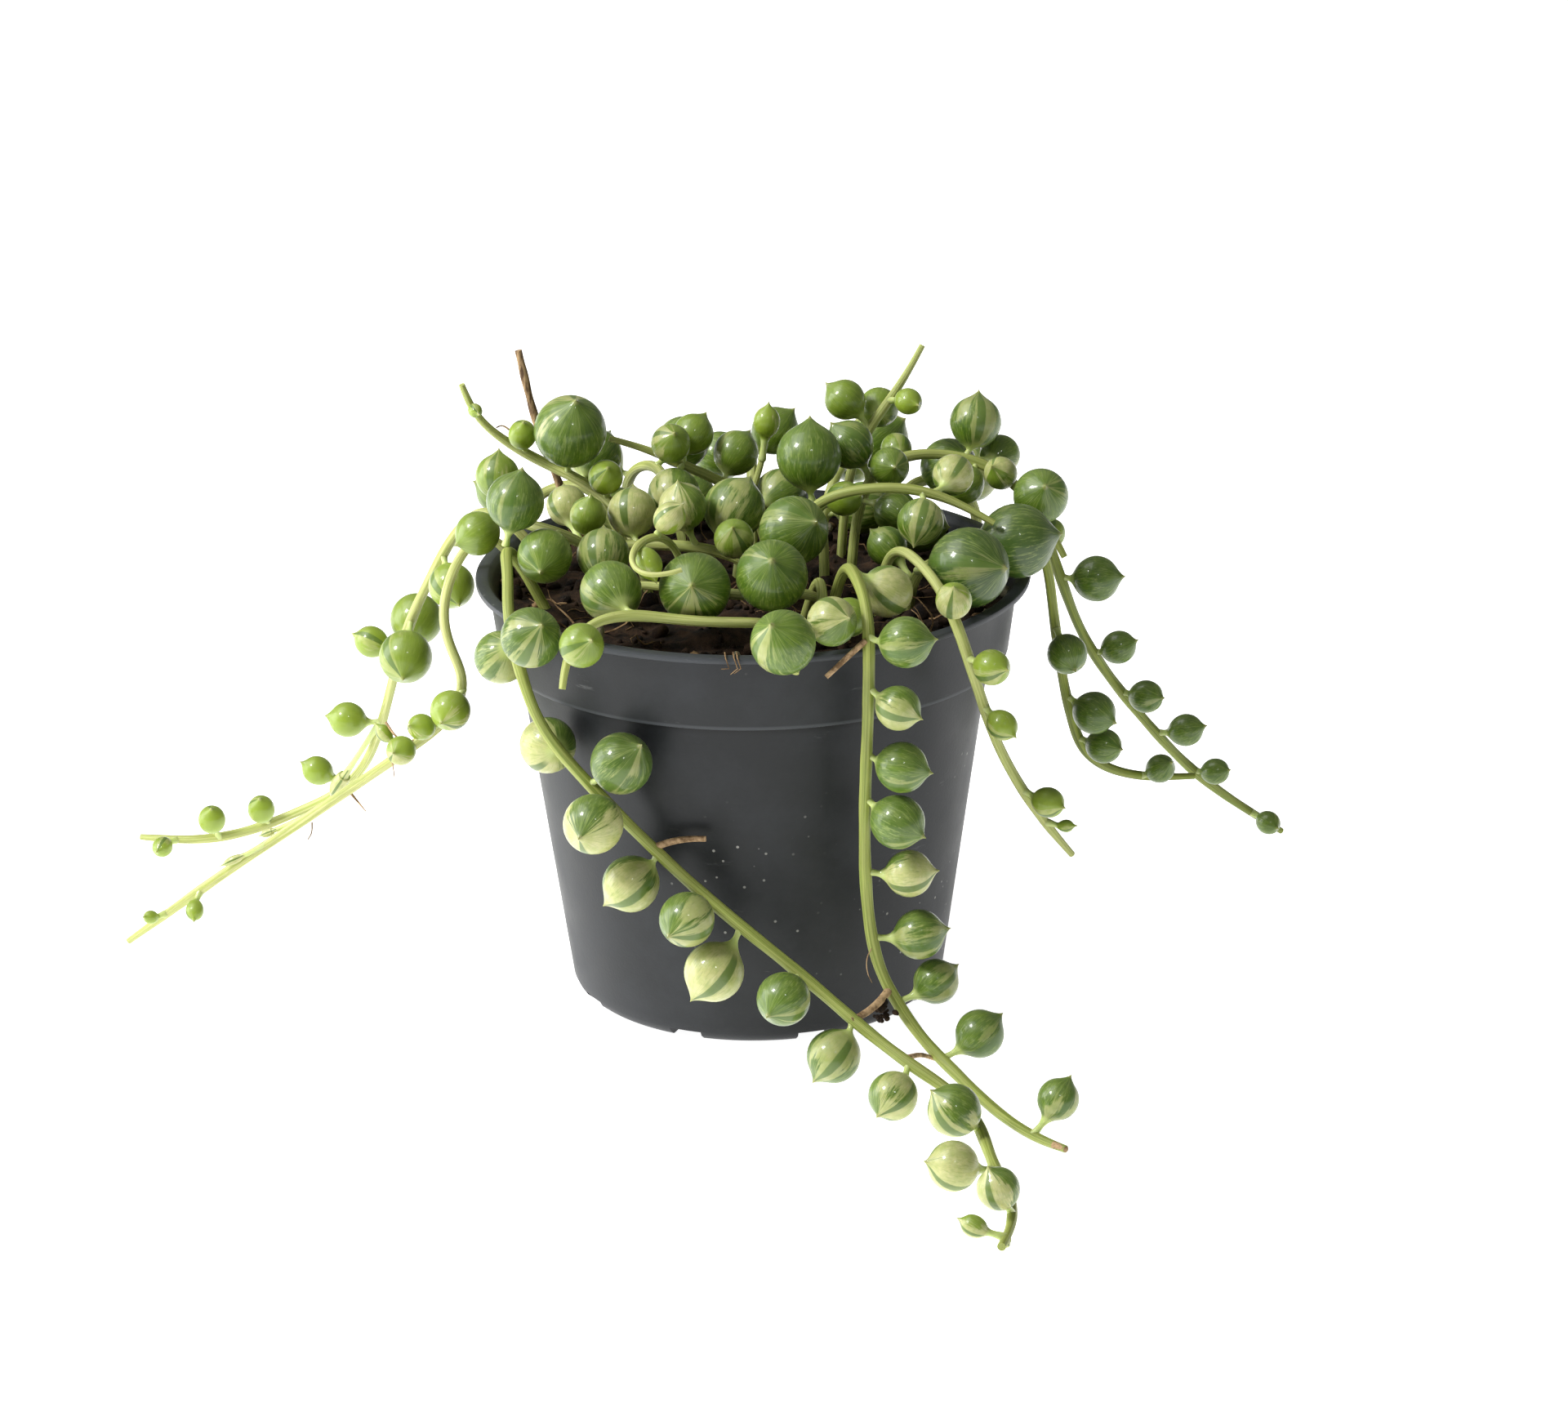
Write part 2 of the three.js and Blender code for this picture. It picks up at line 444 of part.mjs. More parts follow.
// Moves pearls and stems apart, round by round, until none crosses another, the pot, the soil or the table.
function settle(stems) {
  const balls = [];
  stems.forEach((stem, owner) => {
    stem.beads = bent(stem.route);
    stem.rest = stem.beads.map((p) => p.clone());
    stem.pearls = pearlsOn(stem, stem.beads);
    stem.held = stem.beads.map((p) => p.z < FREE_ABOVE && Math.hypot(p.x, p.y) < RIM_RADIUS - LIP_WIDTH);
    stem.beads.forEach((at, bead) => balls.push({
      owner, bead, at, size: stem.width / 2 + STEM_MARGIN, weight: stem.held[bead] ? 0 : 0.4,
    }));
    stem.pearls.forEach((pearl) => {
      const size = pearl.radius * PEARL_SWELL + PEARL_MARGIN;
      balls.push({ owner, pearl, at: pearl.at, size, weight: 1 });
      const stalk = { size: STALK_RADIUS + CLEARANCE, weight: 1 };
      balls.push({ owner, pearl, neck: true, at: new THREE.Vector3(), ...stalk });
    });
  });
  balls.forEach((ball) => (ball.push = new THREE.Vector3()));
  const gap = new THREE.Vector3();
  for (let round = 0; round < ROUNDS; round++) {
    for (const ball of balls) {
      ball.push.set(0, 0, 0);
      if (!ball.neck) continue;
      const stem = stems[ball.owner];
      const anchor = stem.beads[ball.pearl.bead];
      const out = stem.width / 2 + STALK_LENGTH / 2;
      ball.at.copy(ball.pearl.at).sub(anchor).setLength(out).add(anchor);
    }
    for (let i = 0; i < balls.length; i++) {
      for (let j = i + 1; j < balls.length; j++) {
        const [a, b] = [balls[i], balls[j]];
        if (a.owner === b.owner && (!a.pearl || !b.pearl || a.neck || b.neck || a.pearl === b.pearl)) {
          const stemAndPearl = a.pearl ? !b.pearl && !a.neck : b.pearl && !b.neck;
          if (!stemAndPearl) continue;
        }
        const apart = a.size + b.size;
        gap.subVectors(b.at, a.at);
        if (Math.abs(gap.x) > apart || Math.abs(gap.y) > apart || Math.abs(gap.z) > apart) continue;
        const distance = gap.length();
        if (distance >= apart || distance === 0 || a.weight + b.weight === 0) continue;
        const share = (EASE * (apart - distance)) / distance / (a.weight + b.weight);
        a.push.addScaledVector(gap, -share * a.weight);
        b.push.addScaledVector(gap, share * b.weight);
      }
    }
    for (const ball of balls) {
      if (ball.weight === 0) continue;
      const radial = Math.hypot(ball.at.x, ball.at.y);
      const [outside, nr, nz] = wayOut(radial, ball.at.z);
      const lack = ball.size + CLEARANCE / 2 - outside;
      if (lack > 0) {
        ball.push.x += (lack * nr * ball.at.x) / radial;
        ball.push.y += (lack * nr * ball.at.y) / radial;
        ball.push.z += lack * nz;
      }
      ball.push.z += Math.max(0, ball.size - ball.at.z);
    }
    for (const ball of balls) {
      if (ball.neck) ball.pearl.at.addScaledVector(ball.push, 0.5);
      else ball.at.add(ball.push);
    }
    for (const stem of stems) {
      const shift = stem.beads.map((p, i) => p.clone().sub(stem.rest[i]));
      stem.beads.forEach((p, i) => {
        if (stem.held[i]) {
          p.copy(stem.rest[i]);
          return;
        }
        const [before, after] = [shift[Math.max(i - 1, 0)], shift[Math.min(i + 1, shift.length - 1)]];
        p.copy(stem.rest[i]).addScaledVector(shift[i], 0.5);
        p.addScaledVector(before, 0.25).addScaledVector(after, 0.25);
      });
      for (const pearl of stem.pearls) {
        const anchor = stem.beads[pearl.bead];
        const skins = pearl.radius + stem.width / 2;
        gap.subVectors(pearl.at, anchor).clampLength(skins + STALK_SHORTEST, skins + STALK_LONGEST);
        pearl.at.copy(anchor).add(gap);
      }
    }
  }
}

// ---------------------------------------------------------------- pearls and stems

// The outline of a pearl from its stalk end to its point, as shares of its radius out and up from its middle.
const PEARL_OUTLINE = [[0.68, -0.72], [1, -0.02], [0.7, 0.7], [0, 1 + TIP_LENGTH]];
const FLATS = 1.05; // the flats of a few-sided pearl lie inside its round, so its corners go out by this

// One pearl with its stalk, from the middle of the stem to the pointed tip.
function makePearl(pearl, anchor) {
  const axis = pearl.at.clone().sub(anchor);
  const middle = axis.length();
  const r = pearl.radius * FLATS;
  const skin = PEARL_OUTLINE.map(([out, up]) => [out * r, middle + up * r]);
  const points = [[0, -0.4], [STALK_RADIUS, middle - 0.97 * r], ...skin];
  return turned(points, pearl.radius > BIG_PEARL ? BIG_PEARL_SIDES : SMALL_PEARL_SIDES)
    .applyQuaternion(new THREE.Quaternion().setFromUnitVectors(new THREE.Vector3(0, 0, 1), axis.normalize()))
    .translate(anchor.x, anchor.y, anchor.z);
}

function makeStem(stem) {
  const path = new THREE.CatmullRomCurve3(stem.beads);
  const outline = new THREE.Shape();
  for (let i = 0; i < STEM_SIDES; i++) {
    const turn = (2 * Math.PI * i) / STEM_SIDES;
    const [x, y] = [(stem.width / 2) * Math.cos(turn), (stem.width / 2) * Math.sin(turn)];
    if (i) outline.lineTo(x, y);
    else outline.moveTo(x, y);
  }
  const steps = Math.max(6, Math.round((BEAD_STEP * (stem.beads.length - 1)) / STEM_STEP));
  return new THREE.ExtrudeGeometry(outline, { steps, extrudePath: path });
}

function makePlant(stem) {
  const pieces = stem.pearls.map((pearl) => toSolid(makePearl(pearl, stem.beads[pearl.bead])));
  return toGeometry(pieces.reduce((all, piece) => all.add(piece), toSolid(makeStem(stem))));
}

// ---------------------------------------------------------------- the whole thing

const stems = [...TRAILING, ...CROWN, ...BACK, DRY_STALK];
settle(stems);

const group = new THREE.Group();
group.add(part("pot", makePot(), POT_PLASTIC));
group.add(part("soil", makeSoil(stems), PEAT));
for (const stem of stems) {
  group.add(part(stem.name, makePlant(stem), stem === DRY_STALK ? DRY_BROWN : PEARL_GREEN));
}

// The origin goes to the middle of the footprint, at table height.
const bounds = new THREE.Box3().setFromObject(group);
const middle = bounds.getCenter(new THREE.Vector3());
const plant = new THREE.Group();
plant.add(group);
group.position.set(-middle.x, -middle.y, -bounds.min.z);

export default plant;
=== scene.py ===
# %% [markdown]
# # A potted string of pearls
# The construction model gives every size and place: a small nursery pot, the peat that fills it, and leafy
# stems that each carry a row of round leaves, the pearls. This notebook gives it its looks. It keeps the
# same layout rule as the construction model, so each fine stem lies where its plain stem lies.

import math

import bpy
import numpy as np
from mathutils import Matrix, Vector, noise


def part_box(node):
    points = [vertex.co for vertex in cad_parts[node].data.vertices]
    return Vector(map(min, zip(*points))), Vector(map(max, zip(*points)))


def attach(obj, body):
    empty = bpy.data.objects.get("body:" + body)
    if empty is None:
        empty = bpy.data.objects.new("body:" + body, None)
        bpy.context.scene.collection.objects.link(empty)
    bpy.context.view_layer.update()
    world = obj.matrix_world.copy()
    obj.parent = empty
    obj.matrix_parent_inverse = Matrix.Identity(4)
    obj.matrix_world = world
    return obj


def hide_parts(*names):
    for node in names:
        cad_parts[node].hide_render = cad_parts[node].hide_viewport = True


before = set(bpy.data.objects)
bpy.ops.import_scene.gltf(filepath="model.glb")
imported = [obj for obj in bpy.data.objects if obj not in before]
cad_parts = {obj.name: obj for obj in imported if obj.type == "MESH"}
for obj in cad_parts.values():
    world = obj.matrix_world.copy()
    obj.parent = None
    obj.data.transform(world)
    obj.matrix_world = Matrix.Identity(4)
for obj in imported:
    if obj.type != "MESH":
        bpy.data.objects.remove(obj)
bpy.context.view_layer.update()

MM = 0.001  # Blender's unit is the metre, and this plant is measured in millimetres
pot_low, pot_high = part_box("pot")
POT_AXIS = Vector(((pot_low.x + pot_high.x) / 2, (pot_low.y + pot_high.y) / 2, 0))
print(len(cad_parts), "construction solids in the frame")
print("pot axis at", [round(v / MM, 2) for v in POT_AXIS], "mm, pot", round(pot_high.z / MM, 1), "mm high")

# %% [markdown]
# ## Camera
# A small plant is photographed from half a metre or more with a long lens, which keeps the pot's sides from
# leaning. The place and lens below came from fitting the pot's rim, step and foot to the photograph. Yaw,
# pitch and roll are three turns in a row, which is how a photographer levels a tripod head.

# %% Camera
CAMERA_DISTANCE, CAMERA_HEIGHT = 550 * MM, 232.8 * MM
CAMERA_YAW, CAMERA_PITCH, CAMERA_ROLL = 0.00674, 0.3433, -0.01084  # radians
CAMERA_LENS = 105.12  # mm, on a sensor 36 mm wide

bpy.ops.object.select_all(action="DESELECT")
bpy.ops.object.camera_add()
camera = bpy.context.object
camera.data.lens, camera.data.sensor_width = CAMERA_LENS, 36
aim = (Matrix.Rotation(-CAMERA_YAW, 4, "Z") @ Matrix.Rotation(math.pi / 2 - CAMERA_PITCH, 4, "X")
       @ Matrix.Rotation(CAMERA_ROLL, 4, "Z"))
camera.matrix_world = Matrix.Translation(POT_AXIS + Vector((0, -CAMERA_DISTANCE, CAMERA_HEIGHT))) @ aim
camera.data.clip_start, camera.data.clip_end = 0.01, 20
bpy.context.scene.camera = camera
print("camera at", [round(v, 3) for v in camera.matrix_world.translation], "m")

# %% [markdown]
# ## Materials are built from small nodes
# Every finish here is a short chain of nodes: a noise, a threshold, a mix of two colours. It could be wired
# up node by node, but small helpers keep it readable: one adds a node and joins its inputs, another mixes
# two colours. Colours are written as the eye reads them on a screen, from 0 to 255, and turned into the
# linear values that the shader wants.

# %% Node helpers
def paint(red, green, blue):
    """A screen colour as the linear colour that a shader takes."""
    linear = [(c / 255 + 0.055) ** 2.4 / 1.055 ** 2.4 if c > 10 else c / 3295 for c in (red, green, blue)]
    return (*linear, 1)


def add_node(tree, kind, *inputs, sockets=(), **settings):
    """A node with its settings, its inputs given in order or by name; returns its first output."""
    made = tree.nodes.new("ShaderNode" + kind)
    for name, value in settings.items():
        setattr(made, name, value)
    named = [(made.inputs[socket], value) for socket, value in dict(sockets).items()]
    for socket, value in [*zip(made.inputs, inputs), *named]:
        if isinstance(value, bpy.types.NodeSocket):
            tree.links.new(value, socket)
        elif value is not None:
            socket.default_value = value
    return made.outputs[0]


def do_math(tree, operation, *inputs):
    return add_node(tree, "Math", *inputs, operation=operation)


def times(tree, first, second):
    return do_math(tree, "MULTIPLY", first, second)


def stretched(tree, vector, across, along):
    """A place on a stem or pearl, spread apart round it and stretched along it."""
    return add_node(tree, "VectorMath", vector, (across, across, along), operation="MULTIPLY")


def read(tree, kind, output, **settings):
    """The named output of a node that reads something of the piece, such as a place or an attribute."""
    add_node(tree, kind, **settings)
    return tree.nodes[-1].outputs[output]


def split(tree, vector):
    """The three numbers of a vector."""
    add_node(tree, "SeparateXYZ", vector)
    return tree.nodes[-1].outputs


def mix_colours(tree, share, first, second):
    """The first colour where share is 0 and the second where it is 1."""
    made = tree.nodes.new("ShaderNodeMix")
    made.data_type = "RGBA"
    for socket, value in ((made.inputs[0], share), (made.inputs[6], first), (made.inputs[7], second)):
        if isinstance(value, bpy.types.NodeSocket):
            tree.links.new(value, socket)
        else:
            socket.default_value = paint(*value) if isinstance(value, tuple) else value
    return made.outputs[2]


def ease(tree, value, low, high):
    """0 below low, 1 above high and a smooth rise between; low may be above high, for a fall."""
    return add_node(tree, "MapRange", value, low, high, 0, 1, interpolation_type="SMOOTHSTEP")


def noise_at(tree, place, scale, detail=2, shift=0, roughness=0.5, stretch=0):
    """A smooth noise round 0.5, moved bodily by shift."""
    return add_node(tree, "TexNoise", sockets={"Vector": place, "W": shift, "Scale": scale, "Detail": detail,
                    "Roughness": roughness, "Distortion": stretch}, noise_dimensions="4D")


def new_finish(name, **fixed):
    """A new material, its tree and its shader, with sockets that are the same all over set at once."""
    finish = bpy.data.materials.new(name)
    finish.use_nodes = True
    shader = finish.node_tree.nodes["Principled BSDF"]
    for socket, value in fixed.items():
        shader.inputs[socket.replace("_", " ")].default_value = value
    return finish, finish.node_tree, shader


def finish_with(tree, shader, height, depth, strength, **values):
    """Gives the shader its worked-out values, and lets height roughen the surface by depth metres."""
    relief = {"Height": height, "Distance": depth, "Strength": strength}
    values["Normal"] = add_node(tree, "Bump", sockets=relief)
    for socket, value in values.items():
        tree.links.new(value, shader.inputs[socket.replace("_", " ")])


# %% [markdown]
# ## Floor and light
# The real picture was taken on white with large soft lamps: one high on the left, and a weaker one in
# front. White paper under the plant throws light back up, which is why the undersides of the pearls glow
# yellow-green. The floor is therefore modelled as pale paper, and each lamp is an area light turned towards
# the pot.

# %% Floor, sky and lamps
FLOOR_SIZE, FLOOR_Z = 12, -0.0002  # in metres; it lies a hair lower than what stands on it
bpy.ops.mesh.primitive_plane_add(size=FLOOR_SIZE, location=(0, 0, FLOOR_Z))
floor = bpy.context.object
floor.name = "floor"
paper, tree, shader = new_finish("white_paper", Base_Color=(0.9, 0.9, 0.9, 1), Roughness=0.9,
                                 Emission_Color=(1, 1, 1, 1), Emission_Strength=0.95)
floor.data.materials.append(paper)

sky = bpy.data.worlds.new("white_studio")
bpy.context.scene.world = sky
sky.use_nodes = True
backdrop = sky.node_tree.nodes["Background"]
backdrop.inputs["Color"].default_value, backdrop.inputs["Strength"].default_value = (1, 1, 1, 1), 0.12
bpy.context.scene.view_settings.view_transform = "Standard"

LAMPS = [  # name, place in mm from the pot's foot, width in mm, watts
    ("window_left", (-520, -230, 620), 170, 5.6),
    ("sky_left", (-420, 120, 760), 520, 2.6),
    ("side_left", (-660, 40, 180), 420, 2.9),
    ("front_lamp", (120, -640, 560), 50, 0.4),
]
for name, place, width, watts in LAMPS:
    bpy.ops.object.light_add(type="AREA", location=POT_AXIS + Vector(place) * MM)
    lamp = bpy.context.object
    lamp.name, lamp.data.size, lamp.data.energy = name, width * MM, watts
    lamp.rotation_euler = (Vector((0, 0, 50)) - Vector(place)).to_track_quat("-Z", "Y").to_euler()
print("stage set with", len(LAMPS), "lamps")

# %% [markdown]
# ## Modelling helpers
# Operators work on whatever is selected, so every step starts by selecting one object and nothing else.
# Most shapes here are round, so one helper works like a lathe: it adds a circle and extrudes and scales it
# along a profile of radius and height. All pieces are modelled round the pot's axis and shifted into place
# at the end.

# %% Modelling helpers
def select_only(*objects):
    if bpy.context.object and bpy.context.object.mode != "OBJECT":
        bpy.ops.object.mode_set(mode="OBJECT")
    bpy.ops.object.select_all(action="DESELECT")
    for piece in objects:
        piece.select_set(True)
    if objects:
        bpy.context.view_layer.objects.active = objects[0]


def rounded_off():
    """Rounds off the selected piece with a live subdivision."""
    bpy.ops.object.shade_smooth()
    rounding = bpy.context.object.modifiers.new("round", "SUBSURF")
    rounding.levels = rounding.render_levels = 2


def turned(name, profile, sides):
    """A solid turned round Z through [radius, height] rings in mm, closed where an end has radius 0."""
    select_only()
    rings = list(profile)
    fill = "NOTHING"
    if rings[0][0] == 0:
        rings, fill = rings[1:], "TRIFAN"
    bpy.ops.mesh.primitive_circle_add(vertices=sides, radius=rings[0][0] * MM, fill_type=fill,
                                      location=(0, 0, rings[0][1] * MM))
    piece = bpy.context.object
    piece.name = name
    bpy.ops.object.mode_set(mode="EDIT")
    if fill == "TRIFAN":  # only the rim of the disc is drawn on
        bpy.ops.mesh.region_to_loop()
    for (radius, z), (next_radius, next_z) in zip(rings, rings[1:]):
        bpy.ops.mesh.extrude_edges_move(TRANSFORM_OT_translate={"value": (0, 0, (next_z - z) * MM)})
        if next_radius == 0:
            bpy.ops.mesh.merge(type="CENTER")
        elif next_radius != radius:
            scale = next_radius / radius
            bpy.ops.transform.resize(value=(scale, scale, 1), center_override=(0, 0, next_z * MM))
    bpy.ops.mesh.select_all(action="SELECT")
    bpy.ops.mesh.normals_make_consistent(inside=False)
    bpy.ops.object.mode_set(mode="OBJECT")
    bpy.ops.object.transform_apply(location=True)
    return piece


def joined(pieces):
    """The pieces as one object, the first."""
    select_only(*pieces)
    if len(pieces) > 1:
        bpy.ops.object.join()
    return bpy.context.object


def cut_away(piece, cutters):
    """Takes the cutters' space out of the piece and removes them."""
    tool = joined(cutters)
    select_only(piece)
    cutting = piece.modifiers.new("cut", "BOOLEAN")
    cutting.object, cutting.operation, cutting.solver = tool, "DIFFERENCE", "EXACT"
    bpy.ops.object.modifier_apply(modifier=cutting.name)
    bpy.data.objects.remove(tool)


def settle_in(piece, name, stands_for):
    """Shifts a finished piece to the pot's place and ties it to the frame."""
    select_only(piece)
    bpy.ops.object.transform_apply(location=True, rotation=True, scale=True)
    piece.data.transform(Matrix.Translation(POT_AXIS))
    piece.name = piece.data.name = name
    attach(piece, "root")
    if stands_for:
        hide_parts(stands_for)
    low, high = (Vector([f(v.co[k] for v in piece.data.vertices) / MM for k in range(3)]) for f in (min, max))
    print(f"{name}: {len(piece.data.polygons)} faces, z {low.z:.1f} to {high.z:.1f} mm")


# %% [markdown]
# ## The pot
# A nursery pot is one thin injection moulding. A flat lip stiffens the rim, a collar below it lets pots
# stack, and a notched foot ring lets water out. It could be cut from solid cylinders, but the lathe gives
# the even wall and the small rounded edges that catch a line of light, which is what makes it read as
# moulded plastic.

# %% Pot
POT_HEIGHT, RIM_RADIUS, COLLAR_Z, FOOT_RADIUS, POT_SIDES = 55, 35, 44.8, 22.8, 128
pot = turned("pot", [
    (0, 2.2), (19.5, 2.2), (19.7, 0.25), (19.95, 0), (22.5, 0), (22.85, 0.15), (23.6, 0.75), (23.95, 1.5),
    (24.1, 2.6), (29.9, 44.1), (29.98, 44.6), (30.15, 44.78), (31.8, COLLAR_Z), (32.1, 44.92), (32.25, 45.25),
    (33.35, 53.7), (33.45, 54.1), (33.6, 54.2), (34.8, 54.2), (34.96, 54.3), (RIM_RADIUS, 54.45),
    (RIM_RADIUS, 54.75), (34.94, 54.92), (34.78, POT_HEIGHT), (33.55, POT_HEIGHT), (33.35, 54.9),
    (32.3, 53.4), (31.1, 45.5), (28.8, 43.5), (22.8, 3.8), (22.4, 3.6), (6, 3.6), (0, 3.6),
], POT_SIDES)

NOTCH_COUNT, NOTCH_START = 9, -93  # degrees from +X
NOTCH_DEPTH, NOTCH_WIDTH, NOTCH_HEIGHT = 8, 4.2, 1.3
DRAIN_COUNT, DRAIN_RADIUS, DRAIN_CIRCLE = 6, 2.6, 14
cutters = []
for i in range(NOTCH_COUNT):
    turn = math.radians(NOTCH_START + 360 / NOTCH_COUNT * (i + 0.5))
    select_only()
    bpy.ops.mesh.primitive_cube_add(size=1)
    notch = bpy.context.object
    notch.data.transform(Matrix.Rotation(turn, 4, "Z") @ Matrix.Translation((FOOT_RADIUS * MM, 0, 0))
                         @ Matrix.Diagonal((NOTCH_DEPTH * MM, NOTCH_WIDTH * MM, 2 * NOTCH_HEIGHT * MM, 1)))
    cutters.append(notch)
for i in range(DRAIN_COUNT):
    turn = math.radians(360 / DRAIN_COUNT * (i + 0.5))
    hole = turned("drain", [(0, 1), (DRAIN_RADIUS, 1), (DRAIN_RADIUS, 5), (0, 5)], 24)
    hole.data.transform(Matrix.Rotation(turn, 4, "Z") @ Matrix.Translation((DRAIN_CIRCLE * MM, 0, 0)))
    cutters.append(hole)
cut_away(pot, cutters)
select_only(pot)
bpy.ops.object.shade_smooth_by_angle(angle=math.radians(38))

# %% [markdown]
# ## Pot plastic
# The grey plastic is matt with a very fine grain, a little dust, some pale scuffs and tiny white specks of
# lime. All of it reads the object's own coordinates, so it stays put from every side. The dust is a slow
# noise, the scuffs are a noise stretched round the pot, and the specks are the middles of a cell pattern.
# The lip and the collar's lower edge get a painted highlight; painted shade darkens under the collar.

# %% Pot plastic
plastic, tree, shader = new_finish("pot_plastic_grey", IOR=1.47, Specular_IOR_Level=0.3)
place = read(tree, "TexCoord", "Object")
dust = noise_at(tree, place, 90, 5, 3.0, 0.6)
grain = noise_at(tree, place, 2600, 3, 1.0)
squashed = add_node(tree, "Mapping", place, sockets={"Scale": (1, 1, 6)})
scuff = ease(tree, noise_at(tree, squashed, 60, 6, 8.0, 0.7), 0.62, 0.74)
cells = add_node(tree, "TexVoronoi", sockets={"Vector": place, "Scale": 560, "Randomness": 1})
patchy = ease(tree, noise_at(tree, place, 45, 3, 5.0), 0.52, 0.66)
specks = times(tree, ease(tree, cells, 0.13, 0.07), patchy)
colour = mix_colours(tree, ease(tree, dust, 0.35, 0.75), (28, 30, 32), (43, 45, 48))
height = split(tree, place)[2]


def above(low, high):
    """0 at the first height on the pot and 1 at the second, both in mm, and the same beyond them."""
    return ease(tree, height, low * MM, high * MM)


# Painted shade: a dark band just under the collar, where the collar's shadow falls.
painted_shade_under_collar = times(tree, above(COLLAR_Z - 1.6, COLLAR_Z - 0.6), above(COLLAR_Z + 0.1, COLLAR_Z - 0.1))
colour = mix_colours(tree, times(tree, painted_shade_under_collar, 0.8), colour, (16, 17, 18))
# Painted highlight: a paler line on the collar's lower edge and along the top of the lip, where rounded edges
# catch the light.
painted_edge_highlight = times(tree, above(COLLAR_Z - 0.05, COLLAR_Z + 0.1), above(COLLAR_Z + 0.7, COLLAR_Z + 0.4))
painted_edge_highlight = do_math(tree, "ADD", painted_edge_highlight, above(POT_HEIGHT - 0.9, POT_HEIGHT - 0.6))
colour = mix_colours(tree, times(tree, painted_edge_highlight, 0.3), colour, (96, 100, 104))
colour = mix_colours(tree, times(tree, scuff, 0.35), colour, (150, 152, 152))
colour = mix_colours(tree, times(tree, specks, 0.5), colour, (205, 203, 196))
roughness = add_node(tree, "MapRange", dust, 0.3, 0.8, 0.36, 0.58)
finish_with(tree, shader, grain, 0.00003, 0.5, Base_Color=colour, Roughness=roughness)
pot.data.materials.append(plastic)
settle_in(pot, "pot_moulded", "pot")

# %% [markdown]
# ## How the plant lies
# Each stem follows a few points, from its root in the peat to its tip. Where the plant can be seen, each
# pearl has its own place and size. At the back they grow by a rule instead: an even pitch with a little
# chance, and smaller towards the tip. Places, rule and random numbers are the same as in the construction
# model, so both give the same plant. `cream` and `pale` are for looks only: how much of each pearl is
# cream, as one share for all or one for each, and how pale the stem itself is.

# %% Stems
def stem(name, width, cream, pale, route, sits=(), **rule):
    """A stem; sits holds x, y, z and radius of single pearls, and rule how any others are placed."""
    return dict(name=name, width=width, cream=cream, pale=pale, route=route, sits=sits, rule=rule)


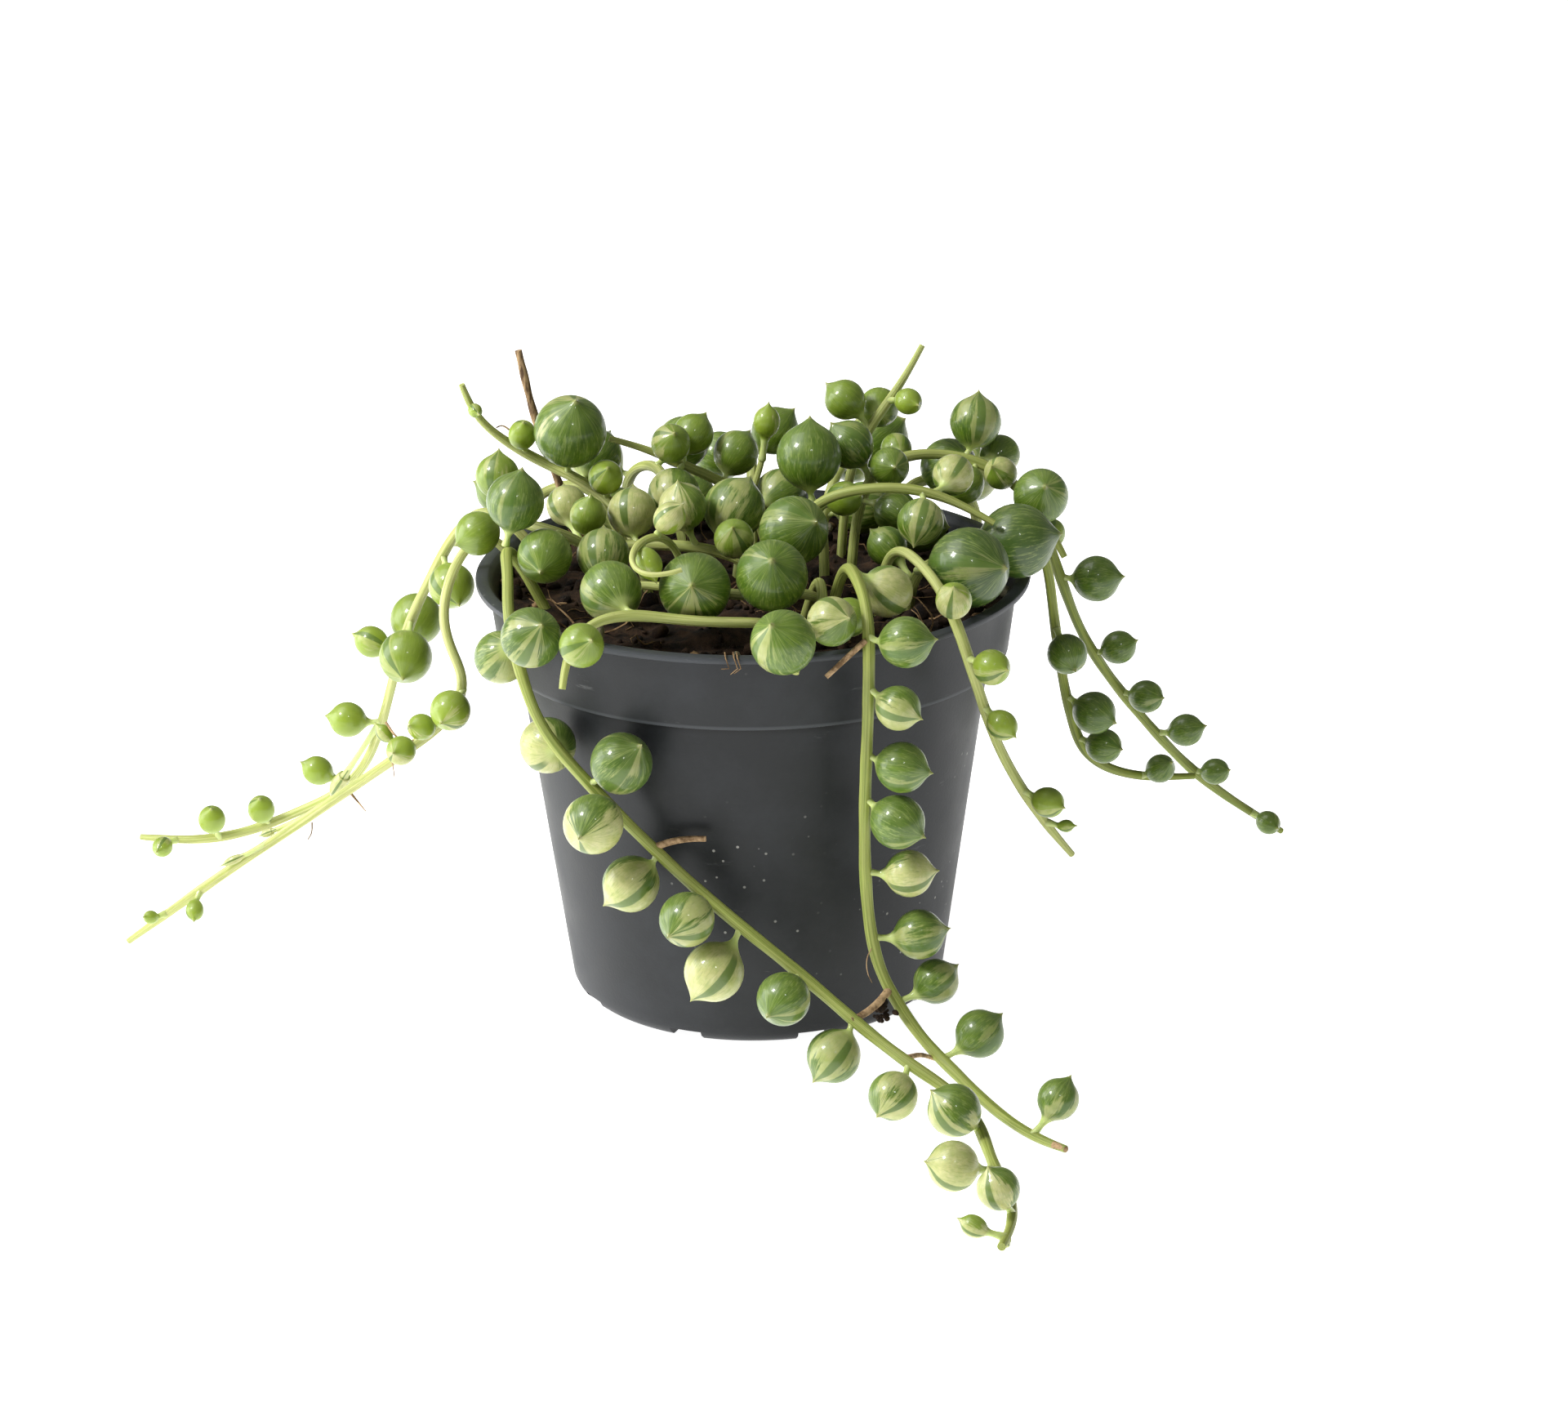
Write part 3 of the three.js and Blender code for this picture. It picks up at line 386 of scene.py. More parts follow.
STEMS = [
    stem("strand_front_left", 1.5,
         [0.1, 0.3, 0.25, 0.85, 0.3, 0.85, 0.6, 0.35, 0.85, 0.15, 0.3, 0.5, 0.45, 0.75, 0.5, 0.5], 0.22,
         [(-23, -9, 47), (-31, -8, 63), (-30, -15, 59.5), (-30, -22, 56), (-28, -26, 49), (-26, -26, 43),
          (-20.5, -26, 36), (-12.5, -28, 28), (-5, -30.5, 21.4), (5.3, -34, 13.8), (13, -39, 8.3),
          (18.7, -43.5, 5.4), (23, -46, 3.5), (25.6, -50, 2.1), (26.6, -56, 1.6), (27.3, -64, 1.6),
          (28.9, -72, 1.6), (28.6, -79, 1.6), (27, -84.5, 1.6)],
         [(-28.5, -11, 68.5, 3.6), (-31, -20, 50.5, 3.3), (-26.5, -29.5, 56.5, 3.7),
          (-25.5, -21.5, 39.5, 3.5), (-16, -30, 40, 3.8), (-19.5, -31.5, 33.5, 3.7), (-15.5, -29, 24, 3.5),
          (-8.5, -34, 21, 3.4), (-6, -34, 14, 3.7), (3, -38.5, 12.5, 3.3), (9, -40, 5.5, 3.3),
          (16, -47, 3.3, 3), (23, -55, 5, 3.2), (21.5, -67, 3.2, 3), (27, -77.5, 5.5, 2.5),
          (24, -82, 3, 1.3)]),
    stem("strand_front", 1.5, [0.6, 0.15, 0.5, 0.1, 0.1, 0.65, 0.25, 0.35, 0.15, 0.2], 0.2,
         [(8, -17, 47), (10.5, -20, 63), (12.5, -27, 62), (13.5, -34, 60), (13.5, -37, 56.5),
          (13.5, -37, 50), (13, -34, 34.5), (13.2, -32, 23), (14.4, -32, 14), (17.7, -33, 8.1),
          (20.5, -35.5, 4.9), (23, -37.5, 3), (26, -42.5, 1.7), (29.3, -50.2, 1.6), (32.8, -56, 1.6),
          (36, -59, 1.6)],
         [(17, -22, 59, 3.2), (17, -37, 57.5, 3.1), (17, -39, 50, 2.7), (17.5, -37, 41.5, 3.1),
          (17, -37, 35, 3.3), (18.5, -33, 26.5, 2.9), (20.5, -31.5, 18, 3.1), (22, -31, 11.5, 2.8),
          (27, -36, 6.5, 3), (35.5, -54, 6, 2.5)]),
    stem("strand_front_right", 1.4, [0.6, 0.35, 0.3, 0.3, 0.3], 0.6,
         [(15, -10, 47), (16.5, -12, 63), (21.5, -20, 61), (24, -27, 58), (26, -28, 52), (27.5, -26, 46.5),
          (30, -22, 38), (35, -19, 28.5), (39.5, -16, 22)],
         [(24, -29, 60, 2.2), (28.5, -30.5, 52, 2.2), (30, -27.5, 43.5, 1.8), (36, -22.5, 31.5, 1.9),
          (38.5, -19, 27, 0.8)]),
    stem("strand_left_long", 1.4, [0.2, 0.25, 0.2, 0.15, 0.1, 0.15, 0.2, 0.2, 0.2], 0.85,
         [(-23, 12, 47), (-33, 12, 61), (-38, 15, 56.5), (-41.5, 18, 49.5), (-44.7, 20, 43),
          (-47.7, 25, 33.5), (-50.7, 33, 22), (-54, 41, 13.4), (-58.8, 48, 7), (-63.3, 51, 4),
          (-70.2, 49, 1.6), (-77.4, 45, 1.6), (-86, 47, 1.6)],
         [(-39, 13, 49, 3), (-45.5, 25.5, 39, 3.5), (-45.5, 15.5, 38.5, 3.5), (-50.5, 25, 37.5, 2.1),
          (-55, 32, 24, 2.4), (-61, 44, 12.5, 2), (-69, 47, 5.5, 1.9), (-75.5, 43.5, 5.5, 1.9),
          (-82.5, 43, 1.5, 1.4)]),
    stem("strand_left", 1.4, [0.4, 0.5, 0.5, 0.5, 0.3, 0.2], 0.95,
         [(-25, 3, 47), (-33, 2, 61), (-37, 1, 57.5), (-39.5, 0, 51), (-39, -1, 46), (-36.5, -1, 41.5),
          (-38, 0, 36), (-46.5, 1, 29.5), (-57.5, 4, 21), (-69.5, 7, 12), (-83, 9, 1.6)],
         [(-38.5, -4, 38, 2.6), (-42.5, -2, 35, 1.7), (-47.5, 1.5, 33, 1), (-45, -2, 32, 1.9),
          (-73.5, 5, 7.5, 1.2), (-79.5, 6.5, 6, 0.9)]),
    stem("strand_right_long", 1.4, 0.15, 0.02,
         [(23, 8, 47), (32, 9, 61), (37.5, 12, 56.5), (39.5, 14, 49.5), (43.5, 20, 37.5), (52, 28, 24),
          (61, 36, 12), (73, 43.5, 1.6)],
         [(44.5, 14, 48.5, 3), (48, 20, 37, 2.2), (52, 23, 29, 2.2), (58, 29, 22, 2.2),
          (62.5, 33, 14.5, 1.8), (70.5, 38, 5, 1.6)]),
    stem("strand_right", 1.4, 0.1, 0,
         [(26, 1, 47), (32.5, 2, 61), (37, 3, 57), (38.5, 6, 45.5), (40, 10, 35.5), (42.5, 14, 25),
          (46, 16, 21.5), (51.5, 19, 19), (58.5, 22, 18)],
         [(40, 3, 42, 2.6), (44, 8.5, 32, 2.8), (45.5, 11, 26.5, 2.3), (53.5, 17, 21, 1.9)]),
    stem("crown_left_shoot", 1.3, [0.15, 0.45, 0.05, 0.2], 0.6,
         [(-12, -1, 47), (-16, 4, 62), (-22.5, 8, 65), (-29, 10, 67.5), (-35, 10, 72), (-36.5, 9, 77)],
         [(-18.5, 1, 68.5, 2.2), (-22.5, 5, 72, 4.6), (-28.5, 8, 70.5, 1.8), (-35, 8, 74, 0.9)]),
    stem("crown_far_left", 1.4, [0.05, 0.1, 0.3], 0.6,
         [(-17, -6, 47), (-19, -7, 60), (-24, -8, 62.5), (-29, -5, 63), (-32, 0, 62), (-34, 5, 60)],
         [(-26, -13, 61.5, 3.4), (-33.5, -3, 61.5, 2.8), (-32, 3, 67, 2.8)]),
    stem("crown_middle", 1.4, [0.15, 0.45, 0.75, 0.95, 0.3, 0.75], 0.5,
         [(2, -7, 47), (1.5, -7, 57), (-3, -6, 59), (-9, -5, 60), (-16, -4, 59.5), (-21, -3, 60),
          (-24, -3, 60)],
         [(-1.5, -11, 63, 2.5), (-3, -3, 64, 3.9), (-8, -6, 66.5, 3), (-15, -2, 62, 3.1),
          (-20.5, -3, 63, 2.3), (-23, 1, 64, 2.6)]),
    stem("crown_back_left", 1.3, [0.15, 0.1, 0.45, 0.4], 0.5,
         [(3, 8, 47), (1, 9, 60), (-3, 9, 63.5), (-8, 8, 66), (-13, 8, 68.5), (-18, 8, 70)],
         [(-2, 11, 67, 2.9), (-8, 9, 69.5, 2.6), (-10, 6, 69, 2.5), (-10.5, 3, 64.5, 3.3)]),
    stem("crown_right_arch", 1.4, [0.45, 0.6], 0.35,
         [(4, -3, 47), (5, -5, 61), (8, -8, 66.5), (14, -9, 68.2), (20, -9, 68), (25, -9, 66.3),
          (30, -10, 63.5)],
         [(21, -12, 64.5, 2.9), (25, -5, 68.5, 2.6)]),
    stem("crown_centre", 1.4, [0.1, 0.05, 0.1], 0.45,
         [(9, 0, 47), (9, 0.5, 60), (8, 0, 64.4), (4, -4, 63), (1, -9, 60.5)],
         [(7.5, 1, 69.5, 4.1), (5.5, -11, 64, 4.3), (11.5, -3, 65, 2.2)]),
    stem("crown_right_shoot", 1.4, [0.05, 0.1, 0.15, 0.3, 0.8, 0.15, 0.1, 0.15, 0.2, 0.3], 0.35,
         [(12, 3, 47), (13, 5, 60), (15, 7, 65.5), (20, 8.5, 67.5), (26, 9, 67), (31, 8, 65.5),
          (36, 5, 61.5), (39.5, 3, 55)],
         [(12.5, 6, 69, 3.1), (28, 6, 64.5, 2.5), (29, 11, 69.5, 3.3), (31.5, 14, 66.5, 2.6),
          (31.5, 4, 65, 2.1), (34.5, 1, 62, 3.5), (38, 7, 57, 1.9), (18, 3, 62, 2.8), (17, 4, 66.5, 2.5),
          (18.5, 12, 67, 2)]),
    stem("crown_upright", 1.3, [0.4, 0.2, 0.1], 0.5,
         [(11, 12, 47), (12, 12.5, 62), (14, 13, 68), (17.5, 14, 72.5), (20, 15, 76), (22, 16, 79.5)],
         [(12, 14, 73, 2.6), (16.5, 17, 71, 2.6), (20, 11, 73.5, 1.7)]),
    stem("crown_front_middle", 1.4, [0.15, 0.35, 0.2], 0.5,
         [(12, -17, 47), (9, -17.5, 58), (3, -18, 57), (-4, -17.5, 57.5), (-11, -16, 58), (-16, -14.5, 58),
          (-20, -15, 57)],
         [(1.5, -24, 60.5, 4.4), (-7.5, -23, 60.5, 4.4), (-19, -11, 60.5, 3.3)]),
    stem("crown_front_left", 1.4, [0.15, 0.3], 0.6,
         [(4, -22, 47), (4, -24.5, 56), (0, -27.5, 57), (-8, -28, 57.5), (-15, -27.5, 58.5), (-20, -29, 58),
          (-22.5, -32, 55), (-23, -33.5, 51)],
         [(-16, -23, 60.5, 3.8), (-20.5, -35, 57, 2.7)]),
    stem("crown_front_right", 1.4, [0.3, 0.7, 0.3], 0.45,
         [(5, -10, 47), (8, -14, 59), (9, -22, 58), (8, -29, 58.5), (6, -34, 57.5), (5, -37.5, 54)],
         [(11.5, -29, 60, 2.4), (9, -33, 58.5, 3), (4, -39, 58, 3.9)]),
    stem("crown_far_right", 1.4, [0.1, 0.15, 0.05], 0.3,
         [(19, -10, 47), (19.5, -11, 58), (22, -12, 59), (25, -8, 59), (28, -3, 58.5), (31, 3, 58)],
         [(15, -11, 60.5, 2.5), (23, -20, 60, 5), (31, -9, 59.5, 4.7)]),
    stem("crown_curl", 1, [0.8, 0.3], 0.7,
         [(-7, -12, 47), (-8.5, -14, 61), (-11, -19, 66), (-14.5, -24, 66), (-15, -28, 64), (-12, -30, 63.5),
          (-8.5, -29.5, 64.5)],
         [(-10, -21.5, 68.5, 1.9), (-13, -23.5, 62.5, 1.7)]),
    stem("crown_bud", 1.1, 0.6, 0.6,
         [(-3, 3, 47), (-1, 5, 61), (1, 6, 66), (1.8, 7, 69.5)],
         [(2, 7, 72, 1.7)]),
]

# The stems at the back fall over the rim one beside the other.
BACK_WAYS = [(38, 16), (64, 34), (90, 14), (117, 30), (143, 12)]  # degrees from +X, and how far down
BACK_REACH = [(17, 47), (24, 61.5), (31, 61), (36.8, 57.5), (37.8, 51)]  # radius and height
for i, (way, drop) in enumerate(BACK_WAYS):
    cos, sin = math.cos(math.radians(way)), math.sin(math.radians(way))
    profile = [*BACK_REACH, (37.4, 57 - drop), (36.6, 52 - drop)]
    route = [(radius * cos, radius * sin, z) for radius, z in profile]
    STEMS.append(stem(f"crown_back_{i + 1}", 1.4, 0.3, 0.5, route,
                      seed=191 + 7 * i, first=11, pitch=8.6, big=3.9, small=2.5,
                      side=np.array([0.6 * cos, 0.6 * sin, 1]), spread=50))
STEMS.append(stem("dry_stalk", 1, 0, 0, [(-19, 10, 47), (-24, 12, 61), (-27.5, 14, 70), (-29.5, 14, 80)]))
print(len(STEMS), "stems")

# %% [markdown]
# ## Routes and pearls
# A stem's route has its corners cut three times, which is the quickest way to turn a few points into a
# smooth line, and is then walked in even steps. A pearl's place is a step on that line, a side that it
# grows to and a reach. Its random numbers come from a generator of one line, so that any language gives the
# same ones.

# %% Routes and pearls
BEAD_STEP = 1.5  # mm between the points that a stem bends at
STALK_RADIUS, STALK_LENGTH, STALK_SHORTEST, STALK_LONGEST = 0.55, 0.9, 0.36, 1.98
PEARL_MARGIN, PEARL_SWELL, STEM_MARGIN, CLEARANCE = 0.18, 1.04, 0.35, 0.3


def seeded(state):
    """Repeatable random numbers from 0 to 1."""
    while True:
        state = state * 16807 % 2147483647
        yield state / 2147483647


def unit(vector):
    return vector / np.linalg.norm(vector)


def heading(beads, bead):
    """The way that a stem runs at a bead."""
    return unit(beads[bead + 1] - beads[bead - 1])


def bent(route, step=BEAD_STEP):
    """The route with its corners cut, as points at an even spacing."""
    points = [np.array(p, float) for p in route]
    for _ in range(3):
        inner = [p for a, b in zip(points, points[1:]) for p in (0.75 * a + 0.25 * b, 0.25 * a + 0.75 * b)]
        points = [points[0], *inner, points[-1]]
    points = np.array(points)
    reach = np.concatenate([[0], np.cumsum(np.linalg.norm(np.diff(points, axis=0), axis=1))])
    even = np.linspace(0, reach[-1], round(reach[-1] / step) + 1)
    return np.stack([np.interp(even, reach, points[:, k]) for k in range(3)], axis=1)


def pearls_on(stem):
    """The stem's pearls: the bead each grows from, its radius and its middle."""
    beads, rule, pearls = stem["beads"], stem["rule"], []
    for x, y, z, radius in stem["sits"]:
        at = np.array([x, y, z], float)
        nearest = int(np.argmin(np.linalg.norm(beads - at, axis=1)))
        pearls.append(dict(bead=min(max(nearest, 1), len(beads) - 2), radius=radius, at=at))
    if not rule:
        return pearls
    draw, length, s = seeded(rule["seed"]), BEAD_STEP * (len(beads) - 1), rule["first"]
    while s < length - 0.5:
        share = (s - rule["first"]) / (length - rule["first"])
        radius = (rule["big"] + (rule["small"] - rule["big"]) * share) * (0.88 + 0.24 * next(draw))
        bead = min(int(s / BEAD_STEP + 0.5), len(beads) - 2)
        along = heading(beads, bead)
        side = unit(rule["side"] - along * (rule["side"] @ along))
        turn = math.radians((1 if len(pearls) % 2 else -1) * rule["spread"] + 30 * (next(draw) - 0.5))
        side = side * math.cos(turn) + np.cross(along, side) * math.sin(turn)
        at = beads[bead] + side * (radius + stem["width"] / 2 + STALK_LENGTH)
        pearls.append(dict(bead=bead, radius=radius, at=at))
        s += rule["pitch"] * (0.95 + 0.1 * next(draw))
    return pearls


for one in STEMS:
    one["beads"] = bent(one["route"])
    one["pearls"] = pearls_on(one)
print(sum(len(one["pearls"]) for one in STEMS), "pearls on", sum(len(one["beads"]) for one in STEMS), "beads")

# %% [markdown]
# ## Making room
# Real pearls push each other aside until they just touch. The same is done here: every bead of a stem,
# pearl and pearl stalk is a ball, and round by round the balls that overlap move apart, out of the pot and
# off the table. A stem then evens out its bends, and a pearl stays within reach of its own bead. Only the
# pairs that could come close are compared, which is looked up again every few rounds.

# %% Making room
POT_SOLID = np.array([
    (0, 0), (FOOT_RADIUS, 0), (23.7, 0.6), (24, 2.2), (30, COLLAR_Z), (32.2, COLLAR_Z), (33.5, 54.2),
    (RIM_RADIUS, 54.2), (RIM_RADIUS, POT_HEIGHT), (33.4, POT_HEIGHT), (33, 53), (0, 53),
], float)
ROUNDS, EASE, LOOK_AGAIN, LOOK_MARGIN = 160, 0.5, 5, 10
FREE_ABOVE, HELD_WITHIN = 55.5, 33.4  # a bead lower than this and nearer to the axis is held by the peat
BEAD, PEARL, STALK = 0, 1, 2
BEAD_WEIGHT = 0.4  # how far a free bead gives way, where a pearl gives way by 1


def way_out(radial, z):
    """Distance outside the pot and soil, negative inside, with the radial and upward part of the way out."""
    best, out_r, out_z = np.full(len(z), np.inf), np.zeros(len(z)), np.ones(len(z))
    inside = np.zeros(len(z), bool)
    for (ar, az), (br, bz) in zip(np.roll(POT_SOLID, 1, axis=0), POT_SOLID):
        crosses = (az > z) != (bz > z)
        if bz != az:
            inside ^= crosses & (radial < (br - ar) * (z - az) / (bz - az) + ar)
        if ar == 0 and br == 0:
            continue
        span = (br - ar) ** 2 + (bz - az) ** 2
        t = np.clip(((radial - ar) * (br - ar) + (z - az) * (bz - az)) / span, 0, 1)
        dr, dz = radial - ar - t * (br - ar), z - az - t * (bz - az)
        distance = np.hypot(dr, dz)
        near = distance < best
        best = np.where(near, distance, best)
        out_r = np.where(near, dr / np.maximum(distance, 1e-12), out_r)
        out_z = np.where(near, dz / np.maximum(distance, 1e-12), out_z)
    sign = np.where(inside, -1, 1)
    return sign * best, sign * out_r, sign * out_z


def make_room(stems):
    balls = []  # stem, kind, own pearl, the bead it hangs on, radius, weight and middle
    for number, stem in enumerate(stems):
        held = (stem["beads"][:, 2] < FREE_ABOVE) & (np.hypot(*stem["beads"].T[:2]) < HELD_WITHIN)
        first = stem["first_ball"] = len(balls)
        for bead, at in enumerate(stem["beads"]):
            weight = 0 if held[bead] else BEAD_WEIGHT
            balls.append((number, BEAD, -1, -1, stem["width"] / 2 + STEM_MARGIN, weight, at))
        for pearl in stem["pearls"]:
            own, anchor = len(balls), first + pearl["bead"]
            pearl["ball"] = own
            roomy = pearl["radius"] * PEARL_SWELL + PEARL_MARGIN
            balls.append((number, PEARL, own, anchor, roomy, 1, pearl["at"]))
            balls.append((number, STALK, own, anchor, STALK_RADIUS + CLEARANCE, 1, pearl["at"]))
    owner, kind, own, anchor, size, weight, spots = (np.array(column) for column in zip(*balls))
    width = np.array([stems[number]["width"] for number in owner])
    necks, pearls, beads = (np.flatnonzero(kind == k) for k in (STALK, PEARL, BEAD))
    rest = spots[beads].copy()
    free = weight[beads] > 0
    ends = np.flatnonzero(np.diff(owner[beads]))  # the last bead of each stem
    before = np.arange(len(beads)) - 1
    before[np.concatenate([[0], ends + 1])] += 1
    after = np.arange(len(beads)) + 1
    after[np.concatenate([ends, [len(beads) - 1]])] -= 1

    i, j = np.triu_indices(len(owner), 1)
    with_pearl = (kind[i] + kind[j] > 0) & (np.maximum(kind[i], kind[j]) < STALK)
    may_push = ((owner[i] != owner[j]) | with_pearl) & (weight[i] + weight[j] > 0)
    i, j = i[may_push], j[may_push]
    apart = size[i] + size[j]
    for count in range(ROUNDS):
        reach = spots[own[necks]] - spots[anchor[necks]]
        out = (width[necks] / 2 + STALK_LENGTH / 2)[:, None]
        spots[necks] = spots[anchor[necks]] + reach / np.linalg.norm(reach, axis=1, keepdims=True) * out
        if count % LOOK_AGAIN == 0:
            near = np.flatnonzero(np.linalg.norm(spots[j] - spots[i], axis=1) < apart + LOOK_MARGIN)
            a, b, room = i[near], j[near], apart[near]
        gap = spots[b] - spots[a]
        distance = np.linalg.norm(gap, axis=1)
        hit = (distance < room) & (distance > 0)
        share = EASE * (room[hit] - distance[hit]) / distance[hit] / (weight[a[hit]] + weight[b[hit]])
        push = np.zeros_like(spots)
        np.add.at(push, a[hit], -gap[hit] * (share * weight[a[hit]])[:, None])
        np.add.at(push, b[hit], gap[hit] * (share * weight[b[hit]])[:, None])
        radial = np.hypot(spots[:, 0], spots[:, 1])
        outside, out_r, out_z = way_out(radial, spots[:, 2])
        lack = np.maximum(0, size + CLEARANCE / 2 - outside) * (weight > 0)
        push[:, :2] += spots[:, :2] * (lack * out_r / radial)[:, None]
        push[:, 2] += lack * out_z + np.maximum(0, size - spots[:, 2]) * (weight > 0)
        spots += np.where((kind == STALK)[:, None], 0, push)
        np.add.at(spots, own[necks], 0.5 * push[necks])
        shift = spots[beads] - rest
        evened = rest + 0.5 * shift + 0.25 * shift[before] + 0.25 * shift[after]
        spots[beads] = np.where(free[:, None], evened, rest)
        reach = spots[pearls] - spots[anchor[pearls]]
        length = np.linalg.norm(reach, axis=1)
        skins = np.array([p["radius"] for s in stems for p in s["pearls"]]) + width[pearls] / 2
        fit = np.clip(length, skins + STALK_SHORTEST, skins + STALK_LONGEST) / length
        spots[pearls] = spots[anchor[pearls]] + reach * fit[:, None]
    for stem in stems:
        start = stem["first_ball"]
        stem["beads"] = spots[start:start + len(stem["beads"])]
        for pearl in stem["pearls"]:
            pearl["at"] = spots[pearl["ball"]]


make_room(STEMS)
print("highest pearl", round(max(p["at"][2] + p["radius"] for s in STEMS for p in s["pearls"]), 1), "mm up")

# %% [markdown]
# ## The peat
# Potting peat is a heap of dark crumbs, coir fibres and a few pale grains, lightly pressed. A displaced
# disc alone looks like a cushion, so it is built in two steps: a turned block whose top is roughened by
# noise, and several hundred small crumbs and fibres strewn over it. One crumb and one fibre are modelled
# and copied, each copy turned, scaled and bent on its own.

# %% Peat block
SOIL_LEVEL, SOIL_RELIEF, SOIL_RING_STEP = 53, 1.3, 0.62
RNG = np.random.default_rng(20)


def soil_height(x, y):
    """Height of the pressed peat in mm: slow waves, and fine crumbs on top."""
    wave = math.sin(0.43 * x + 0.8) * math.cos(0.37 * y) + 0.6 * math.sin(0.9 * y - 0.5 * x)
    crumbs = noise.fractal(Vector((x, y, 3)) * 0.42, 0.8, 2.2, 4)
    return SOIL_LEVEL - SOIL_RELIEF * (0.5 + wave / 3.2) + 0.55 * crumbs


soil_rings = [(0, 3.9), (22.5, 3.9), (28.5, 44.1), (30.7, 45.9), (32, 51.7)]
soil_rings += [(radius, SOIL_LEVEL) for radius in np.arange(31.6, 0.5, -SOIL_RING_STEP)] + [(0, SOIL_LEVEL)]
peat = turned("peat", soil_rings, 168)
for vertex in peat.data.vertices:
    if vertex.co.z > (SOIL_LEVEL - 0.05) * MM:
        vertex.co.z = soil_height(vertex.co.x / MM, vertex.co.y / MM) * MM
print("peat block:", len(peat.data.vertices), "points")

# %% Crumbs and fibres
CRUMB_COUNT, CRUMB_REACH, HEAP_FROM, HEAP_TO = 520, 31.5, 27, 32  # the reaches are radii in mm
FIBRE_COUNT, FIBRE_REACH, INSIDE_RIM = 90, 31, 32.2


def strewn(master, count, place_of):
    """Copies of master, each with its own mesh, moved by the matrix that place_of gives."""
    copies = []
    for number in range(count):
        copy = master.copy()
        copy.data = master.data.copy()
        bpy.context.collection.objects.link(copy)
        copy.data.transform(place_of(number))
        copies.append(copy)
    return copies


def random_turn():
    return Matrix.Rotation(RNG.uniform(0, 6.28), 4, Vector(RNG.normal(size=3)))


def crumb_place(number):
    """Most crumbs lie anywhere; the rest are heaped inside the rim."""
    radius = CRUMB_REACH * math.sqrt(RNG.uniform()) if number % 3 else RNG.uniform(HEAP_FROM, HEAP_TO)
    angle = RNG.uniform(0, 2 * math.pi)
    x, y, width = radius * math.cos(angle), radius * math.sin(angle), 0.35 + 1.1 * RNG.uniform() ** 2.5
    shape = Matrix.Diagonal((width, width * RNG.uniform(0.6, 1), width * RNG.uniform(0.5, 0.9), 1))
    return Matrix.Translation(Vector((x, y, soil_height(x, y) + 0.25 * width)) * MM) @ random_turn() @ shape


select_only()
bpy.ops.mesh.primitive_ico_sphere_add(subdivisions=2, radius=MM)
crumb = bpy.context.object
for vertex in crumb.data.vertices:
    vertex.co *= 1 + 0.35 * noise.noise(vertex.co / MM * 1.7)
crumbs = strewn(crumb, CRUMB_COUNT, crumb_place)


def thin_strand(points, radius, sides=4, end_radius=None):
    """A tube along points in mm: a path with a round bevel, made a mesh."""
    points = np.asarray(points, float)
    select_only()
    bpy.ops.curve.primitive_nurbs_path_add()
    path = bpy.context.object
    line = path.data.splines[0]
    line.type = "POLY"
    line.points.add(max(0, len(points) - len(line.points)))
    line.points.foreach_set("co", np.hstack([points * MM, np.ones((len(points), 1))]).ravel())
    radii = np.ones(len(points)) * radius
    if end_radius is not None:
        radii = np.linspace(radius, end_radius, len(points))
    line.points.foreach_set("radius", radii)
    path.data.bevel_depth, path.data.bevel_resolution = MM, (sides - 4) // 2
    path.data.use_fill_caps, path.data.resolution_u = True, 1
    bpy.ops.object.convert(target="MESH")
    return bpy.context.object


def wander(start, way, length, steps, curl):
    """Points of a fibre that starts at start, heads one way and curls at random."""
    points, way = [np.array(start, float)], unit(np.array(way, float))
    for _ in range(steps):
        way = unit(way + RNG.normal(size=3) * curl)
        points.append(points[-1] + way * length / steps)
    return np.array(points)


fibres = []
for _ in range(FIBRE_COUNT):
    radius, angle = FIBRE_REACH * math.sqrt(RNG.uniform()), RNG.uniform(0, 2 * math.pi)
    x, y = radius * math.cos(angle), radius * math.sin(angle)
    way = (*RNG.normal(size=2), RNG.uniform(-0.1, 0.5))
    line = wander((x, y, soil_height(x, y) + 0.1), way, RNG.uniform(3, 9), 6, 0.35)
    for point in line:  # fibres lie on the peat and inside the rim
        point[:2] *= min(1, INSIDE_RIM / max(np.hypot(*point[:2]), 1e-9))
        point[2] = max(point[2], soil_height(point[0], point[1]) + 0.1)
    fibres.append(thin_strand(line, RNG.uniform(0.07, 0.17), 4, 0.05))
for x in (-3.6, -2.6, -2.2):  # a few that hang over the front of the rim
    line = [(x, -31.5, 53.4), (x + 0.1, -33.3, 55.3), (x + 0.2, -35.2, 55.2), (x + 0.6, -35.5, 54.0),
            (x + 0.1 * x, -35.4, 53.0 + 0.3 * x % 1)]
    fibres.append(thin_strand(line, 0.12, 4, 0.05))
print(len(crumbs), "crumbs,", len(fibres), "fibres")

# %% [markdown]
# ## Peat, coir and grit
# Wet peat is nearly black, dry peat is brown, and the fibres are tan. All crumbs share one finish: a noise
# on object coordinates mixes the browns, so neighbours differ without a material each. Nothing in it
# shines.

# %% Peat finishes
def crumbly(name, dark, light, scale):
    finish, tree, shader = new_finish(name, Roughness=0.92, Specular_IOR_Level=0.25)
    place = read(tree, "TexCoord", "Object")
    mixed = noise_at(tree, place, scale, 5, 2.0, 0.65)
    colour = mix_colours(tree, ease(tree, mixed, 0.34, 0.66), dark, light)
    finish_with(tree, shader, noise_at(tree, place, 3200, 4, 6.0, 0.7), 0.0003, 0.9, Base_Color=colour)
    return finish


